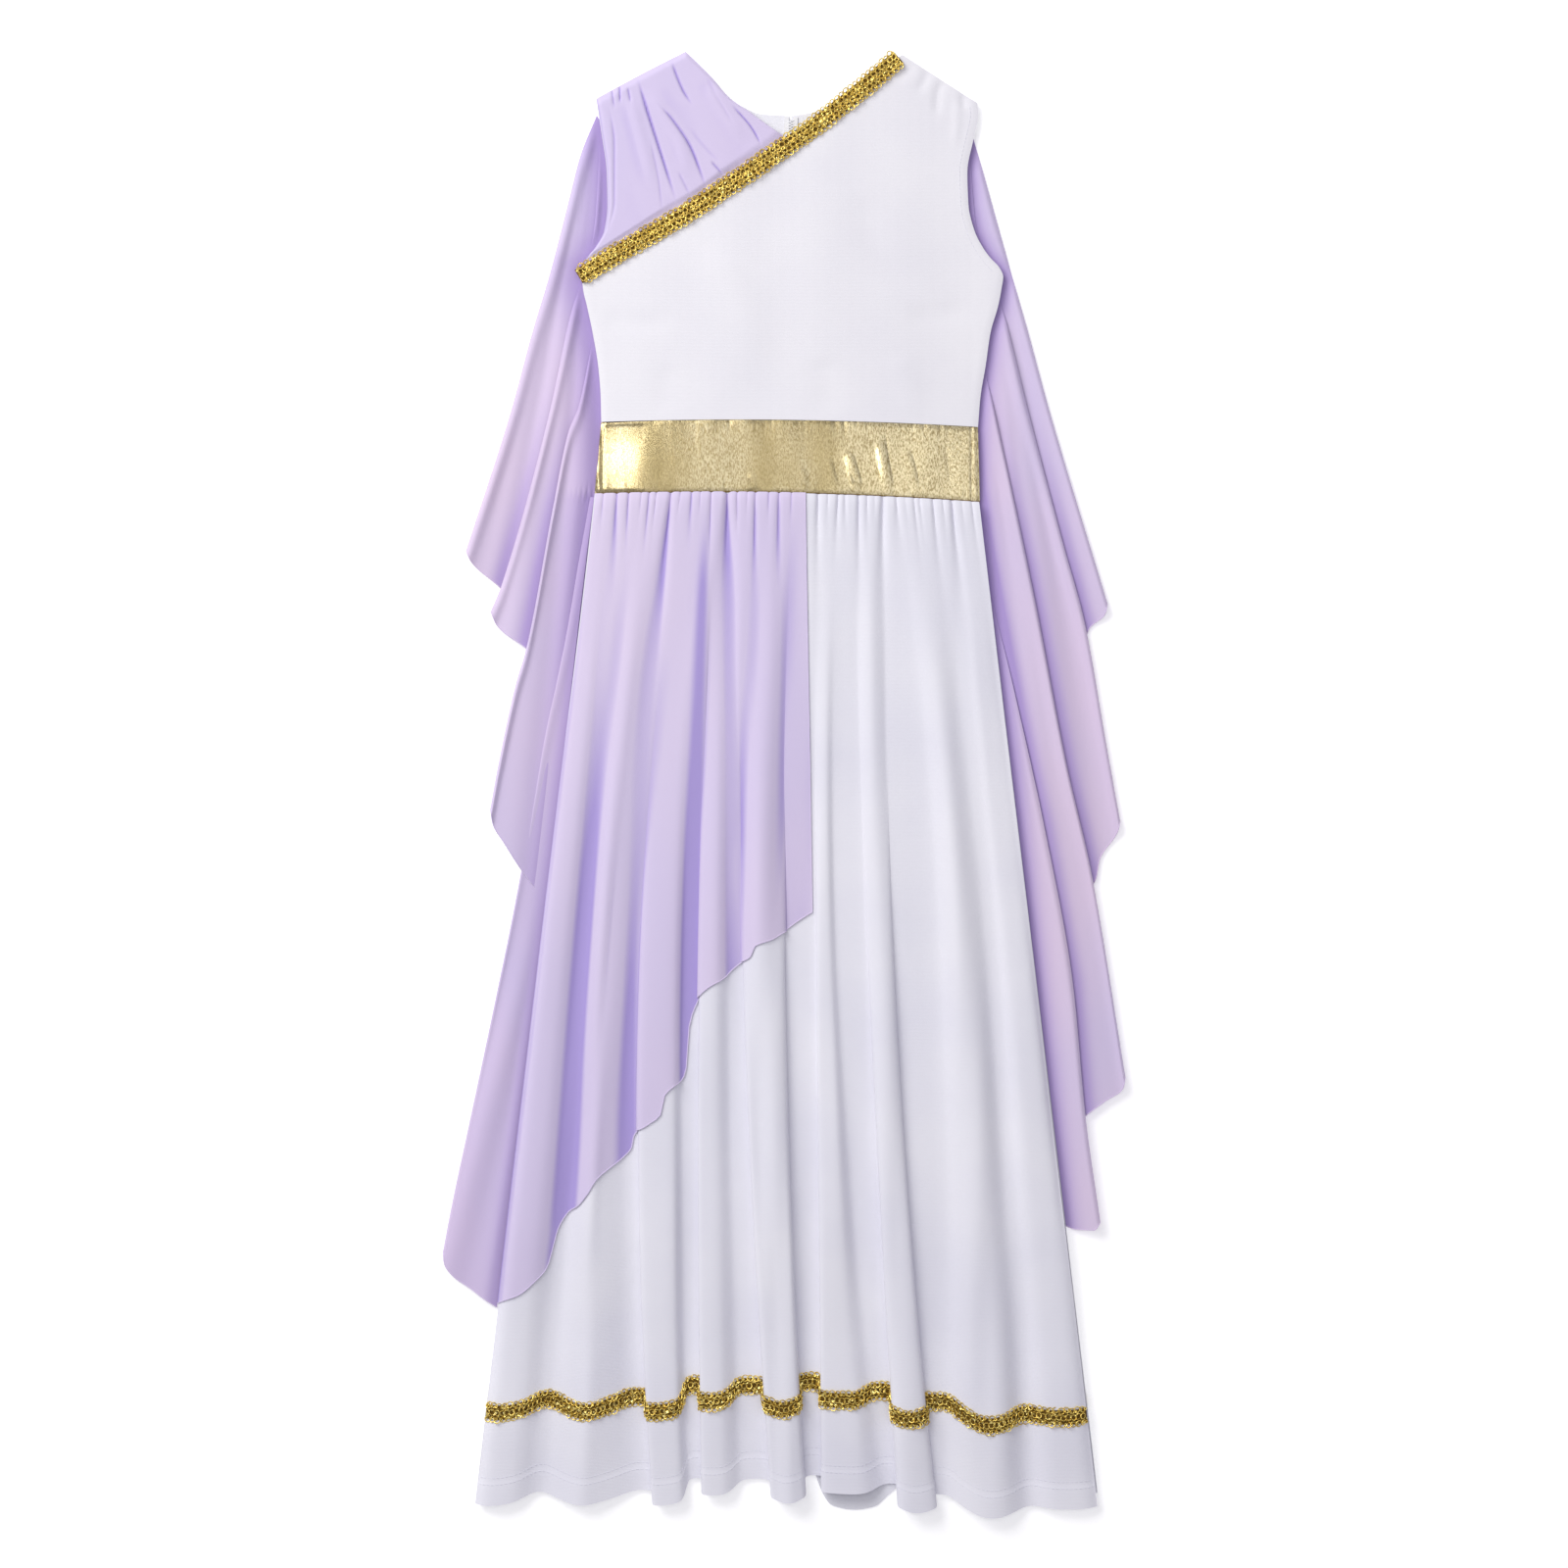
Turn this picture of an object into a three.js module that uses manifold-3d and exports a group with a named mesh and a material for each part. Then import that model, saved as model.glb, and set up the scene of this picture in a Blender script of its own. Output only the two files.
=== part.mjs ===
// Roman toga costume for a girl, laid flat on its back with the front facing up.
// Millimetres: +X to the right of the front view, +Y towards the shoulders, +Z up.
import * as THREE from 'three';
import { mergeVertices } from 'three/addons/utils/BufferGeometryUtils.js';
import Module from 'manifold-3d';

const wasm = await Module();
wasm.setup();

// Driving dimensions
const KNIT = 1.3;            // wall of the white stretch knit and of the waistband
const CHIFFON = 1.0;         // wall of the lilac chiffon
const BRAID = 1.2;           // wall of the gold braid
const SEAM = 0.3;            // gap between neighbouring pieces
const SLACK = 0.7;           // air between the front and the back of the skirt
const DRAPE_STACK = 3.2;     // highest fold stack of the back drape, under the dress
const BACK_LEVEL = DRAPE_STACK + SEAM;
const CROWN = 3.0;           // how much the middle of the front stands above its sides
const CROWN_HALF_WIDTH = 150;
const WAIST_BOTTOM = 231;    // height of the seam between waistband and skirt
const WAIST_TOP = 286.6;     // height of the seam between waistband and bodice
const HEM_BRAID_ABOVE_HEM = 74.5;
const HEM_BRAID_WIDTH = 14;
const CHEST_BRAID_WIDTH = 19.5;
const SCALLOP_PITCH = 7.5;   // loops along both edges of the chest braid
const SCALLOP_DEPTH = 1.2;
const GATHER_HEIGHT = 0.8;   // waist gathers, up and down from the middle of the cloth
const ZIP_LINE = 5.5;        // centre back, where the two halves of the back meet
const ZIP_TAPE_WIDTH = 5;
const BACK_NECK = 531;
const FRONT_NECK = { x: 3, y: 512 };

// Side, armhole and neck lines of the bodice
const LEFT_SIDE = [
  { y: 286, x: -145 }, { y: 308, x: -145.5 }, { y: 332, x: -147.5 }, { y: 359, x: -152 },
  { y: 380, x: -156.5 }, { y: 395.5, x: -160 }, { y: 404.8, x: -159.2 }, { y: 416, x: -157.4 },
  { y: 425, x: -150.5 }, { y: 440, x: -142.5 }, { y: 460, x: -140 }, { y: 486, x: -140.6 },
  { y: 512, x: -144 }, { y: 531, x: -147 }, { y: 544, x: -149 },
];
const RIGHT_SIDE = [
  { y: 282, x: 154 }, { y: 308, x: 156 }, { y: 332, x: 160 }, { y: 359, x: 164 },
  { y: 380, x: 171 }, { y: 395.5, x: 173 }, { y: 404.8, x: 174 }, { y: 416, x: 164.5 },
  { y: 425, x: 158.5 }, { y: 440, x: 151 }, { y: 460, x: 146.4 }, { y: 486, x: 145.5 },
  { y: 512, x: 150.3 }, { y: 531, x: 154 }, { y: 541, x: 153.5 },
];
const FRONT_NECK_LEFT = [
  { y: 512, x: 3 }, { y: 522.6, x: -13 }, { y: 533.5, x: -28 }, { y: 544, x: -43 },
  { y: 561, x: -58 }, { y: 581, x: -78 },
];
const FRONT_NECK_RIGHT = [
  { y: 512, x: 3 }, { y: 522, x: 16 }, { y: 541, x: 40 }, { y: 555, x: 58 }, { y: 579, x: 94 },
];
const BACK_NECK_LEFT = [
  { y: 531, x: ZIP_LINE }, { y: 532.5, x: -19 }, { y: 537, x: -30 }, { y: 544, x: -43 },
  { y: 561, x: -59 }, { y: 581, x: -78 },
];
const BACK_NECK_RIGHT = [
  { y: 531, x: ZIP_LINE }, { y: 534, x: 24 }, { y: 541, x: 38 }, { y: 555, x: 58 },
  { y: 579, x: 94 },
];
const BODICE_ROWS = [308, 332, 359, 380, 395.5, 404.8, 416, 425, 440, 460, 486];

// Seams above and below the waistband: shallow arcs, highest left of the middle
const WAIST_TOP_SEAM = { highest: 289, at: -40, fall: 6, across: 200 };
const WAIST_BOTTOM_SEAM = { highest: 231.6, at: -60, fall: 7.5, across: 215 };

// Folds of the skirt front from left to right. Each is a ridge: its two feet at the waist, at
// the knee and at the hem, where the rise ends and the fall starts, how high it stands at the
// hem, how low its hem hangs, the hem in the trough on its right, and its waist gathers.
const FOLDS = [
  { waist: [-150.5, -137], knee: [-203.8, -171], hem: [-245, -198], crest: [-240, -218],
    height: 9, hemCrest: -574, hemTrough: -561, gathers: 3 },
  { waist: [-132, -93], knee: [-162, -124], hem: [-192, -119], crest: [-170, -152],
    height: 9, hemCrest: -573, hemTrough: -561, gathers: 4 },
  { waist: [-89, -63], knee: [-117, -81], hem: [-110, -77], crest: [-105.5, -84],
    height: 11, hemCrest: -575.5, hemTrough: -551.5, gathers: 3 },
  { waist: [-59, -44], knee: [-67.5, -43], hem: [-68, -33], crest: [-63.5, -49],
    height: 11, hemCrest: -567, hemTrough: -552, gathers: 3 },
  { waist: [-40, 10], knee: [-30, 2], hem: [-14, 17], crest: [-9, 11.7],
    height: 13, hemCrest: -570, hemTrough: -549, gathers: 5 },
  { waist: [17, 45], knee: [27, 46], hem: [28, 80], crest: [33, 60],
    height: 10, hemCrest: -565.5, hemTrough: -556, gathers: 3 },
  { waist: [50, 85], knee: [70, 91], hem: [86, 120], crest: [91, 113],
    height: 13, hemCrest: -578, hemTrough: -562, gathers: 4 },
  { waist: [89, 128], knee: [125, 168], hem: [129, 192], crest: [151, 175],
    height: 12, hemCrest: -583, hemTrough: -573, gathers: 4 },
  { waist: [132, 155.5], knee: [177, 208.5], hem: [200, 249.5], crest: [214, 243],
    height: 8, hemCrest: -576.5, hemTrough: -568, gathers: 3 },
];
const LEFT_CORNER_HEM = -571;
const KNEE = 0.564;          // how far down the skirt the knee stands, from 0 at the waist to 1
const BRAID_TOP = 0.8976;
const BRAID_BOTTOM = 0.9152;
const SKIRT_ROWS = [0, 0.02, 0.05, 0.1, 0.18, 0.3, 0.45, 0.6, 0.74, 0.84, BRAID_TOP, BRAID_BOTTOM, 0.96, 1];

// How high the back of the dress lies: on the drape, on the back braid, then on the surface
const BACK_LEVELS = [
  { y: -600, z: 0 }, { y: -556, z: 0 }, { y: -512, z: BRAID + SEAM + 0.1 },
  { y: -440, z: BRAID + SEAM + 0.1 }, { y: -356, z: BACK_LEVEL }, { y: 600, z: BACK_LEVEL },
];
const BACK_HEM = [
  { x: -245, y: -566 }, { x: -195, y: -556 }, { x: -120, y: -556 }, { x: -90, y: -552 },
  { x: -70, y: -546 }, { x: -26, y: -546 }, { x: 6, y: -544 }, { x: 22, y: -544 },
  { x: 30, y: -563 }, { x: 38, y: -574 }, { x: 56, y: -577.5 }, { x: 72, y: -575 },
  { x: 83, y: -566 }, { x: 95, y: -557 }, { x: 131, y: -556 }, { x: 193, y: -567 },
  { x: 249.5, y: -564 },
];

// Hem of the lilac skirt overlay, from its right edge down to its point at the left side
const OVERLAY_HEM = [
  { x: -235, y: -420 }, { x: -222, y: -410 }, { x: -198, y: -394 }, { x: -184, y: -367 },
  { x: -163, y: -335 }, { x: -149, y: -313 }, { x: -120, y: -287 }, { x: -98, y: -262 },
  { x: -78.5, y: -230 }, { x: -75, y: -190 }, { x: -66, y: -172 }, { x: -49, y: -154 },
  { x: -26, y: -134 }, { x: -9, y: -122.5 }, { x: 13.6, y: -107 }, { x: 40, y: -97 },
];
const OVERLAY_LAST_FOLD = 5; // its right edge runs down the left foot of this fold

// Side panel of the overlay, which shows past the left side of the skirt
const SIDE_PANEL = [
  { inner: [-150.8, 228], outer: [-154, 228] }, { inner: [-157, 180], outer: [-162.5, 180] },
  { inner: [-164.8, 115], outer: [-173.5, 115] }, { inner: [-173.5, 40], outer: [-189.5, 40] },
  { inner: [-182.4, -35], outer: [-202.5, -35] }, { inner: [-190.2, -100], outer: [-214.5, -100] },
  { inner: [-199.8, -180], outer: [-231, -180] }, { inner: [-209.5, -260], outer: [-248, -260] },
  { inner: [-218.5, -335], outer: [-264, -335] }, { inner: [-223, -372], outer: [-271, -372] },
  { inner: [-226, -397], outer: [-263, -391] }, { inner: [-228.2, -416], outer: [-237, -410] },
];
const SIDE_PANEL_COLUMNS = [0, 0.3, 0.7, 1];

// Panels of the back drape as they show past the dress, lowest first. Each is cut by its
// outer edge and hem, then by the hidden line under the next panel.
const DRAPE_PANELS = [
  { top: 1.1, outline: [[-149, 532], [-162, 499], [-172, 460], [-186, 406], [-200, 359], [-209, 328],
    [-217, 296], [-252.7, 185], [-226.7, 157], [-203, 131], [-150, 345], [-128, 500]] },
  { top: 1.9, outline: [[-146, 531], [-150, 450], [-171, 367], [-186, 296], [-225, 156], [-233, 137],
    [-205, 108], [-186, 92], [-166, 221], [-140, 345], [-126, 500]] },
  { top: 2.7, outline: [[-143, 528], [-142, 440], [-154, 345], [-163, 296], [-171, 283], [-183, 221],
    [-204, 109], [-213, 78], [-227, 13], [-233, -22], [-222, -47], [-208, -69], [-190, -92],
    [-165, -110], [-150, 100], [-130, 300], [-122, 500]] },
  { top: 1.1, outline: [[149, 520], [160, 480.5], [174, 430], [194, 359], [211, 296], [257, 140],
    [243, 123], [239, 114], [222, 100], [190, 250], [160, 370], [128, 500]] },
  { top: 1.9, outline: [[147, 518], [152, 450], [172, 384], [194, 296], [221.5, 191.5], [239, 127],
    [256, 31], [267, -32], [250, -62], [249, -74], [241, -86], [222, -102], [205, 30],
    [180, 180], [150, 330], [127, 500]] },
  { top: 2.7, outline: [[144, 516], [146, 420], [160, 330], [171, 278.5], [199, 146], [224, 16],
    [244, -71], [271, -236], [239, -264], [214, -285], [200, -100], [170, 90], [148, 280], [125, 500]] },
  { top: DRAPE_STACK, outline: [[140, 510], [142, 330], [155, 200], [182, 78], [206.5, -34],
    [229, -158], [239, -263], [251, -351], [233, -354], [200, -346], [170, -120], [145, 80], [122, 490]] },
  { top: 1.2, outline: [[-141, 528], [-120, 470], [-60, 425], [0, 412], [60, 425], [120, 466],
    [140, 510], [150, 330], [160, 90], [190, -120], [210, -346], [120, -334], [0, -330],
    [-120, -326], [-205, -330], [-190, -90], [-160, 90], [-148, 330]] },
];

// Gold braid across the chest, along its middle, and the chiffon above it
const CHEST_BRAID_LINE = [
  [91, 577], [62, 551], [44.5, 537], [20, 519], [-3, 504], [-28, 490], [-53, 474],
  [-75, 457.5], [-100, 443], [-122.5, 429], [-145, 415], [-163, 403.5],
];
const CHEST_OVERLAY_TOP = [
  [-149, 544], [-125, 557], [-101, 569.5], [-78, 581], [-58, 561], [-43, 544], [-28, 533.5],
  [-13, 522.6], [0, 513.5],
];
const CHEST_OVERLAY_BOTTOM = [
  [-158, 407], [-145, 415], [-122.5, 429], [-100, 443], [-75, 457.5], [-53, 474], [-28, 490],
  [-10, 500], [3, 509],
];
const CHEST_CREASES = 9;
const CHEST_CREASE_HEIGHT = 1.3;
const CHEST_CREASE_END = 12;  // how far from the middle of the braid the creases run out
const CHEST_CREASE_FADE = 30;

// Colours and finish of each cloth
const cloth = (color, roughness, metalness = 0) => new THREE.MeshStandardMaterial({ color, roughness, metalness });
const whiteKnit = () => cloth(0xf0f0f6, 0.85);
const lilacChiffon = () => cloth(0xdccdef, 0.75);
const goldLame = () => cloth(0xd9c77e, 0.3, 0.8);
const goldBraid = () => cloth(0xc6a132, 0.4, 0.7);
const zipWhite = () => cloth(0xf4f4f6, 0.6);

const lerp = (from, to, part) => from + (to - from) * part;
const clamp = (value) => Math.min(1, Math.max(0, value));
const ease = (value) => 0.5 - 0.5 * Math.cos(Math.PI * clamp(value));

// Value of one column of a table at a place in another, with straight lines between the rows
function lookUp(rows, key, column, place) {
  const last = rows.length - 1;
  let row = 0;
  while (row < last - 1 && place > rows[row + 1][key]) row += 1;
  const part = clamp((place - rows[row][key]) / (rows[row + 1][key] - rows[row][key]));
  return lerp(rows[row][column], rows[row + 1][column], part);
}

// Point at a part of the way along a list of points, counted by its rows
function alongPoints(points, part) {
  const place = clamp(part) * (points.length - 1);
  const row = Math.min(points.length - 2, Math.floor(place));
  return [0, 1].map((axis) => lerp(points[row][axis], points[row + 1][axis], place - row));
}

const seamAt = (seam, x) => seam.highest - seam.fall * ((x - seam.at) / seam.across) ** 2;
const backLevel = (y) => lookUp(BACK_LEVELS, 'y', 'z', y);
const crown = (x) => CROWN * Math.max(0, 1 - (x / CROWN_HALF_WIDTH) ** 2);
const bodiceFrontLevel = (x) => BACK_LEVEL + KNIT + SEAM + crown(x);

// Corners of a surface made of grids, with the corners that fall together joined
function weld(grids) {
  const indexOf = new Map();
  const corners = [];
  const numbered = grids.map((grid) => grid.map((row) => row.map((point) => {
    const key = point.toArray().map((value) => Math.round(value * 2000)).join();
    if (!indexOf.has(key)) {
      indexOf.set(key, corners.length);
      corners.push(point);
    }
    return indexOf.get(key);
  })));
  const triangles = [];
  const addTriangle = (a, b, c) => {
    if (a !== b && b !== c && c !== a) triangles.push([a, b, c]);
  };
  for (const grid of numbered) {
    for (let row = 0; row + 1 < grid.length; row += 1) {
      for (let column = 0; column + 1 < grid[row].length; column += 1) {
        const here = grid[row][column];
        const across = grid[row + 1][column + 1];
        addTriangle(here, grid[row][column + 1], across);
        addTriangle(here, across, grid[row + 1][column]);
      }
    }
  }
  const area = triangles.reduce((sum, corner) => sum + faceNormal(corners, corner).z, 0);
  return { numbered, corners, triangles: area < 0 ? triangles.map(([a, b, c]) => [a, c, b]) : triangles };
}

function faceNormal(corners, [a, b, c]) {
  const along = corners[b].clone().sub(corners[a]);
  return along.cross(corners[c].clone().sub(corners[a]));
}

// Directions in which the corners move so that every face moves out by one
function outwardGrids(grids) {
  const { numbered, corners, triangles } = weld(grids);
  const around = corners.map(() => []);
  for (const triangle of triangles) {
    const normal = faceNormal(corners, triangle).normalize();
    triangle.forEach((corner, place) => {
      const next = corners[triangle[(place + 1) % 3]].clone().sub(corners[corner]);
      const previous = corners[triangle[(place + 2) % 3]].clone().sub(corners[corner]);
      around[corner].push({ normal, angle: next.angleTo(previous) });
    });
  }
  const outward = around.map((faces) => {
    const middle = new THREE.Vector3();
    faces.forEach(({ normal, angle }) => middle.addScaledVector(normal, angle));
    middle.normalize();
    const steepest = Math.min(...faces.map(({ normal }) => normal.dot(middle)));
    return middle.divideScalar(Math.max(0.7, steepest));
  });
  return numbered.map((grid) => grid.map((row) => row.map((corner) => outward[corner])));
}

const movedGrids = (grids, outward, amount) => grids.map((grid, g) => grid.map((row, r) => row.map(
  (point, c) => point.clone().addScaledVector(outward[g][r][c], amount),
)));
const raisedGrids = (grids, amount) => grids.map((grid) => grid.map((row) => row.map(
  (point) => point.clone().setZ(point.z + amount),
)));

// Closed wall between an inner and an outer surface of the same layout
function wall(name, material, innerGrids, outerGrids) {
  const inner = weld(innerGrids);
  const outerCorners = [];
  inner.numbered.forEach((grid, g) => grid.forEach((row, r) => row.forEach((corner, c) => {
    outerCorners[corner] = outerGrids[g][r][c];
  })));
  const count = inner.corners.length;
  const positions = [...inner.corners, ...outerCorners].flatMap((point) => point.toArray());
  const faces = [];
  const edges = new Map();
  for (const [a, b, c] of inner.triangles) {
    faces.push(a, c, b, a + count, b + count, c + count);
    for (const [from, to] of [[a, b], [b, c], [c, a]]) {
      if (!edges.delete(`${to},${from}`)) edges.set(`${from},${to}`, [from, to]);
    }
  }
  for (const [from, to] of edges.values()) {
    faces.push(from, to, to + count, from, to + count, from + count);
  }
  const geometry = new THREE.BufferGeometry();
  geometry.setAttribute('position', new THREE.Float32BufferAttribute(positions, 3));
  geometry.setIndex(faces);
  const mesh = new THREE.Mesh(geometry, material);
  mesh.name = name;
  return mesh;
}

const raisedWall = (name, material, grids, thickness) => wall(name, material, grids, raisedGrids(grids, thickness));

const garment = new THREE.Group();

// Columns of the skirt: where each stands at waist, knee and hem, how far up its fold it
// lies, and whether it is the top or the bottom of a gather
function skirtColumns() {
  const columns = [];
  FOLDS.forEach((fold, number) => {
    const [left, right] = fold.hem;
    const [riseEnd, fallStart] = fold.crest;
    const troughs = [number ? FOLDS[number - 1].hemTrough : LEFT_CORNER_HEM, fold.hemTrough];
    const crestSteps = fold.gathers * 2 - 5;
    const places = [
      { hem: left, lift: 0, side: 0 }, { hem: lerp(left, riseEnd, 0.5), lift: 0.5, side: 0 },
    ];
    for (let step = 0; step <= crestSteps; step += 1) {
      places.push({ hem: lerp(riseEnd, fallStart, step / crestSteps), lift: 1, side: 0 });
    }
    places.push({ hem: lerp(fallStart, right, 0.5), lift: 0.5, side: 1 }, { hem: right, lift: 0, side: 1 });
    places.forEach(({ hem, lift, side }, place) => {
      columns.push({
        fold, number, lift, hem,
        waist: lerp(...fold.waist, place / (places.length - 1)),
        knee: lerp(...fold.knee, (hem - left) / (right - left)),
        hemHeight: lerp(troughs[side], fold.hemCrest, lift),
        gather: place % 2 ? 1 : -1,
      });
    });
  });
  return columns;
}

// A smooth path through waist, knee and hem
function pathAt({ waist, knee, hem }, down) {
  return waist * (1 - down) * (1 - down / KNEE)
    + knee * down * (1 - down) / (KNEE * (1 - KNEE))
    + hem * down * (down - KNEE) / (1 - KNEE);
}

const columns = skirtColumns();
const growth = (down) => 0.35 * ease(down / 0.1) + 0.65 * down;
const gatherFade = (down) => (1 - down) ** 8;

function skirtFrontPoint(column, down) {
  const x = pathAt(column, down);
  const top = seamAt(WAIST_BOTTOM_SEAM, x) - SEAM;
  const y = lerp(top, column.hemHeight, down);
  const gather = GATHER_HEIGHT * (1 + column.gather) * gatherFade(down);
  const z = backLevel(y) + KNIT + SLACK + crown(x) * (1 - down) ** 4
    + column.lift * column.fold.height * growth(down) + gather;
  return new THREE.Vector3(x, y, z);
}

const skirtGrid = SKIRT_ROWS.map((down) => columns.map((column) => skirtFrontPoint(column, down)));
const [skirtOutward] = outwardGrids([skirtGrid]);
garment.add(wall('skirt_front', whiteKnit(), [skirtGrid], movedGrids([skirtGrid], [skirtOutward], KNIT)));

// A point that lies on the skirt front, moved out, in a column and at any height
function onSkirt(columnNumber, down, amount) {
  const row = Math.min(SKIRT_ROWS.length - 2, SKIRT_ROWS.findLastIndex((value) => value <= down));
  const part = (down - SKIRT_ROWS[row]) / (SKIRT_ROWS[row + 1] - SKIRT_ROWS[row]);
  const point = skirtGrid[row][columnNumber].clone().lerp(skirtGrid[row + 1][columnNumber], part);
  const outward = skirtOutward[row][columnNumber].clone().lerp(skirtOutward[row + 1][columnNumber], part);
  return point.addScaledVector(outward, amount);
}

// The hem braid of the front, on the skirt's own points
const braidRows = [BRAID_TOP, BRAID_BOTTOM];
const hemBraidAt = (amount) => [braidRows.map((down) => columns.map((_, number) => onSkirt(number, down, amount)))];
garment.add(wall('hem_braid_front', goldBraid(), hemBraidAt(KNIT + SEAM), hemBraidAt(KNIT + SEAM + BRAID)));

// The chiffon overlay of the skirt, cut off at its slanting hem
function overlayEnd(columnNumber) {
  let [above, below] = [0, 1];
  for (let halving = 0; halving < 24; halving += 1) {
    const middle = (above + below) / 2;
    const point = onSkirt(columnNumber, middle, 0);
    if (point.y > lookUp(OVERLAY_HEM, 'x', 'y', point.x)) above = middle;
    else below = middle;
  }
  return above;
}
const overlayColumns = columns.map((column, number) => number)
  .filter((number) => columns[number].number < OVERLAY_LAST_FOLD
    || (columns[number].number === OVERLAY_LAST_FOLD && columns[number - 1].number < OVERLAY_LAST_FOLD));
const overlayEnds = overlayColumns.map(overlayEnd);
const overlayAt = (amount) => [SKIRT_ROWS.map((down) => overlayColumns.map(
  (number, place) => onSkirt(number, Math.min(down, overlayEnds[place]), amount),
))];
const overLevel = KNIT + SEAM;
garment.add(wall('skirt_overlay', lilacChiffon(), overlayAt(overLevel), overlayAt(overLevel + CHIFFON)));

// The back of the skirt and the braid under it
const LEFT_EDGE = columns[0];
const RIGHT_EDGE = columns.at(-1);
function skirtBackPoint(hem, down) {
  const part = (hem.x - LEFT_EDGE.hem) / (RIGHT_EDGE.hem - LEFT_EDGE.hem);
  const x = lerp(pathAt(LEFT_EDGE, down), pathAt(RIGHT_EDGE, down), part);
  const y = lerp(seamAt(WAIST_BOTTOM_SEAM, x) - SEAM, hem.y, down);
  return new THREE.Vector3(x, y, backLevel(y));
}
const skirtBackGrid = [SKIRT_ROWS.map((down) => BACK_HEM.map((hem) => skirtBackPoint(hem, down)))];
garment.add(raisedWall('skirt_back', whiteKnit(), skirtBackGrid, KNIT));

const backBraidGrid = [[HEM_BRAID_WIDTH / 2, -HEM_BRAID_WIDTH / 2].map((across) => BACK_HEM.map((hem) => {
  const y = hem.y + HEM_BRAID_ABOVE_HEM + across;
  const point = skirtBackPoint(hem, (y - WAIST_BOTTOM) / (hem.y - WAIST_BOTTOM));
  return point.setZ(0);
}))];
garment.add(raisedWall('hem_braid_back', goldBraid(), backBraidGrid, BRAID));

// Grids of the bodice, from the waistband up to the neck and on to the shoulders
function bodiceBlock(leftLine, rightLine, rows, parts, level) {
  return rows.map((y) => parts.map((part) => {
    const left = lookUp(leftLine, 'y', 'x', y);
    const right = lookUp(rightLine, 'y', 'x', y);
    const x = lerp(left, right, part);
    const height = y < WAIST_TOP + SEAM ? seamAt(WAIST_TOP_SEAM, x) + SEAM : y;
    return new THREE.Vector3(x, height, level(x));
  }));
}

// A strap between an armhole and the neck, up to the shoulder seam
function strap(armLine, neckLine, start, columnsAcross, level) {
  const armTop = armLine.at(-1).y;
  const neckTop = neckLine.at(-1).y;
  return [0, 0.2, 0.4, 0.6, 0.8, 1].map((up) => Array.from({ length: columnsAcross + 1 }, (_, number) => {
    const armY = lerp(start, armTop, up);
    const neckY = lerp(start, neckTop, up);
    const part = number / columnsAcross;
    const x = lerp(lookUp(armLine, 'y', 'x', armY), lookUp(neckLine, 'y', 'x', neckY), part);
    return new THREE.Vector3(x, lerp(armY, neckY, part), level(x));
  }));
}
const evenParts = (count) => Array.from({ length: count + 1 }, (_, number) => number / count);

// The front is one piece, split above the lowest point of its neck
const FRONT_HALF = 11;
const frontRows = [WAIST_TOP, ...BODICE_ROWS, FRONT_NECK.y];
const neckLineX = [{ y: 0, x: FRONT_NECK.x }, { y: 600, x: FRONT_NECK.x }];
const bodiceFrontGrids = [
  bodiceBlock(LEFT_SIDE, neckLineX, frontRows, evenParts(FRONT_HALF), bodiceFrontLevel),
  bodiceBlock(neckLineX, RIGHT_SIDE, frontRows, evenParts(FRONT_HALF), bodiceFrontLevel),
  strap(LEFT_SIDE, FRONT_NECK_LEFT, FRONT_NECK.y, FRONT_HALF, bodiceFrontLevel),
  strap(RIGHT_SIDE, FRONT_NECK_RIGHT, FRONT_NECK.y, FRONT_HALF, bodiceFrontLevel).map((row) => row.reverse()),
];
garment.add(raisedWall('bodice_front', whiteKnit(), bodiceFrontGrids, KNIT));

// The back is two pieces, which the zip joins
const BACK_HALF = 7;
const backRows = [WAIST_TOP, ...BODICE_ROWS, FRONT_NECK.y, BACK_NECK];
const backHeight = () => BACK_LEVEL;
const zipEdge = (side) => [{ y: 0, x: ZIP_LINE + side * SEAM }, { y: 600, x: ZIP_LINE + side * SEAM }];
const fromZip = (neck, side) => [{ y: BACK_NECK, x: ZIP_LINE + side * SEAM }, ...neck.slice(1)];
garment.add(raisedWall('bodice_back_left', whiteKnit(), [
  bodiceBlock(LEFT_SIDE, zipEdge(-1), backRows, evenParts(BACK_HALF), backHeight),
  strap(LEFT_SIDE, fromZip(BACK_NECK_LEFT, -1), BACK_NECK, BACK_HALF, backHeight),
], KNIT));
garment.add(raisedWall('bodice_back_right', whiteKnit(), [
  bodiceBlock(zipEdge(1), RIGHT_SIDE, backRows, evenParts(BACK_HALF), backHeight),
  strap(RIGHT_SIDE, fromZip(BACK_NECK_RIGHT, 1), BACK_NECK, BACK_HALF, backHeight).map((row) => row.reverse()),
], KNIT));

// The waistband, with upright wrinkles in front and the zip through its back
const BAND_COLUMNS = 30;
const WRINKLE = 0.5;
function bandGrid(from, to, count, level) {
  return [[0, 0.3, 0.7, 1].map((up) => evenParts(count).map((part, number) => {
    const x = lerp(lerp(from.bottom, from.top, up), lerp(to.bottom, to.top, up), part);
    const bottom = seamAt(WAIST_BOTTOM_SEAM, x);
    const top = seamAt(WAIST_TOP_SEAM, x);
    return new THREE.Vector3(x, lerp(bottom, top, up), level(x, number, up));
  }))];
}
const LEFT_BAND_END = { bottom: -150.5, top: -145 };
const RIGHT_BAND_END = { bottom: 155.5, top: 154 };
const zipBandEnd = (side) => ({ bottom: ZIP_LINE + side * SEAM, top: ZIP_LINE + side * SEAM });
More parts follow.
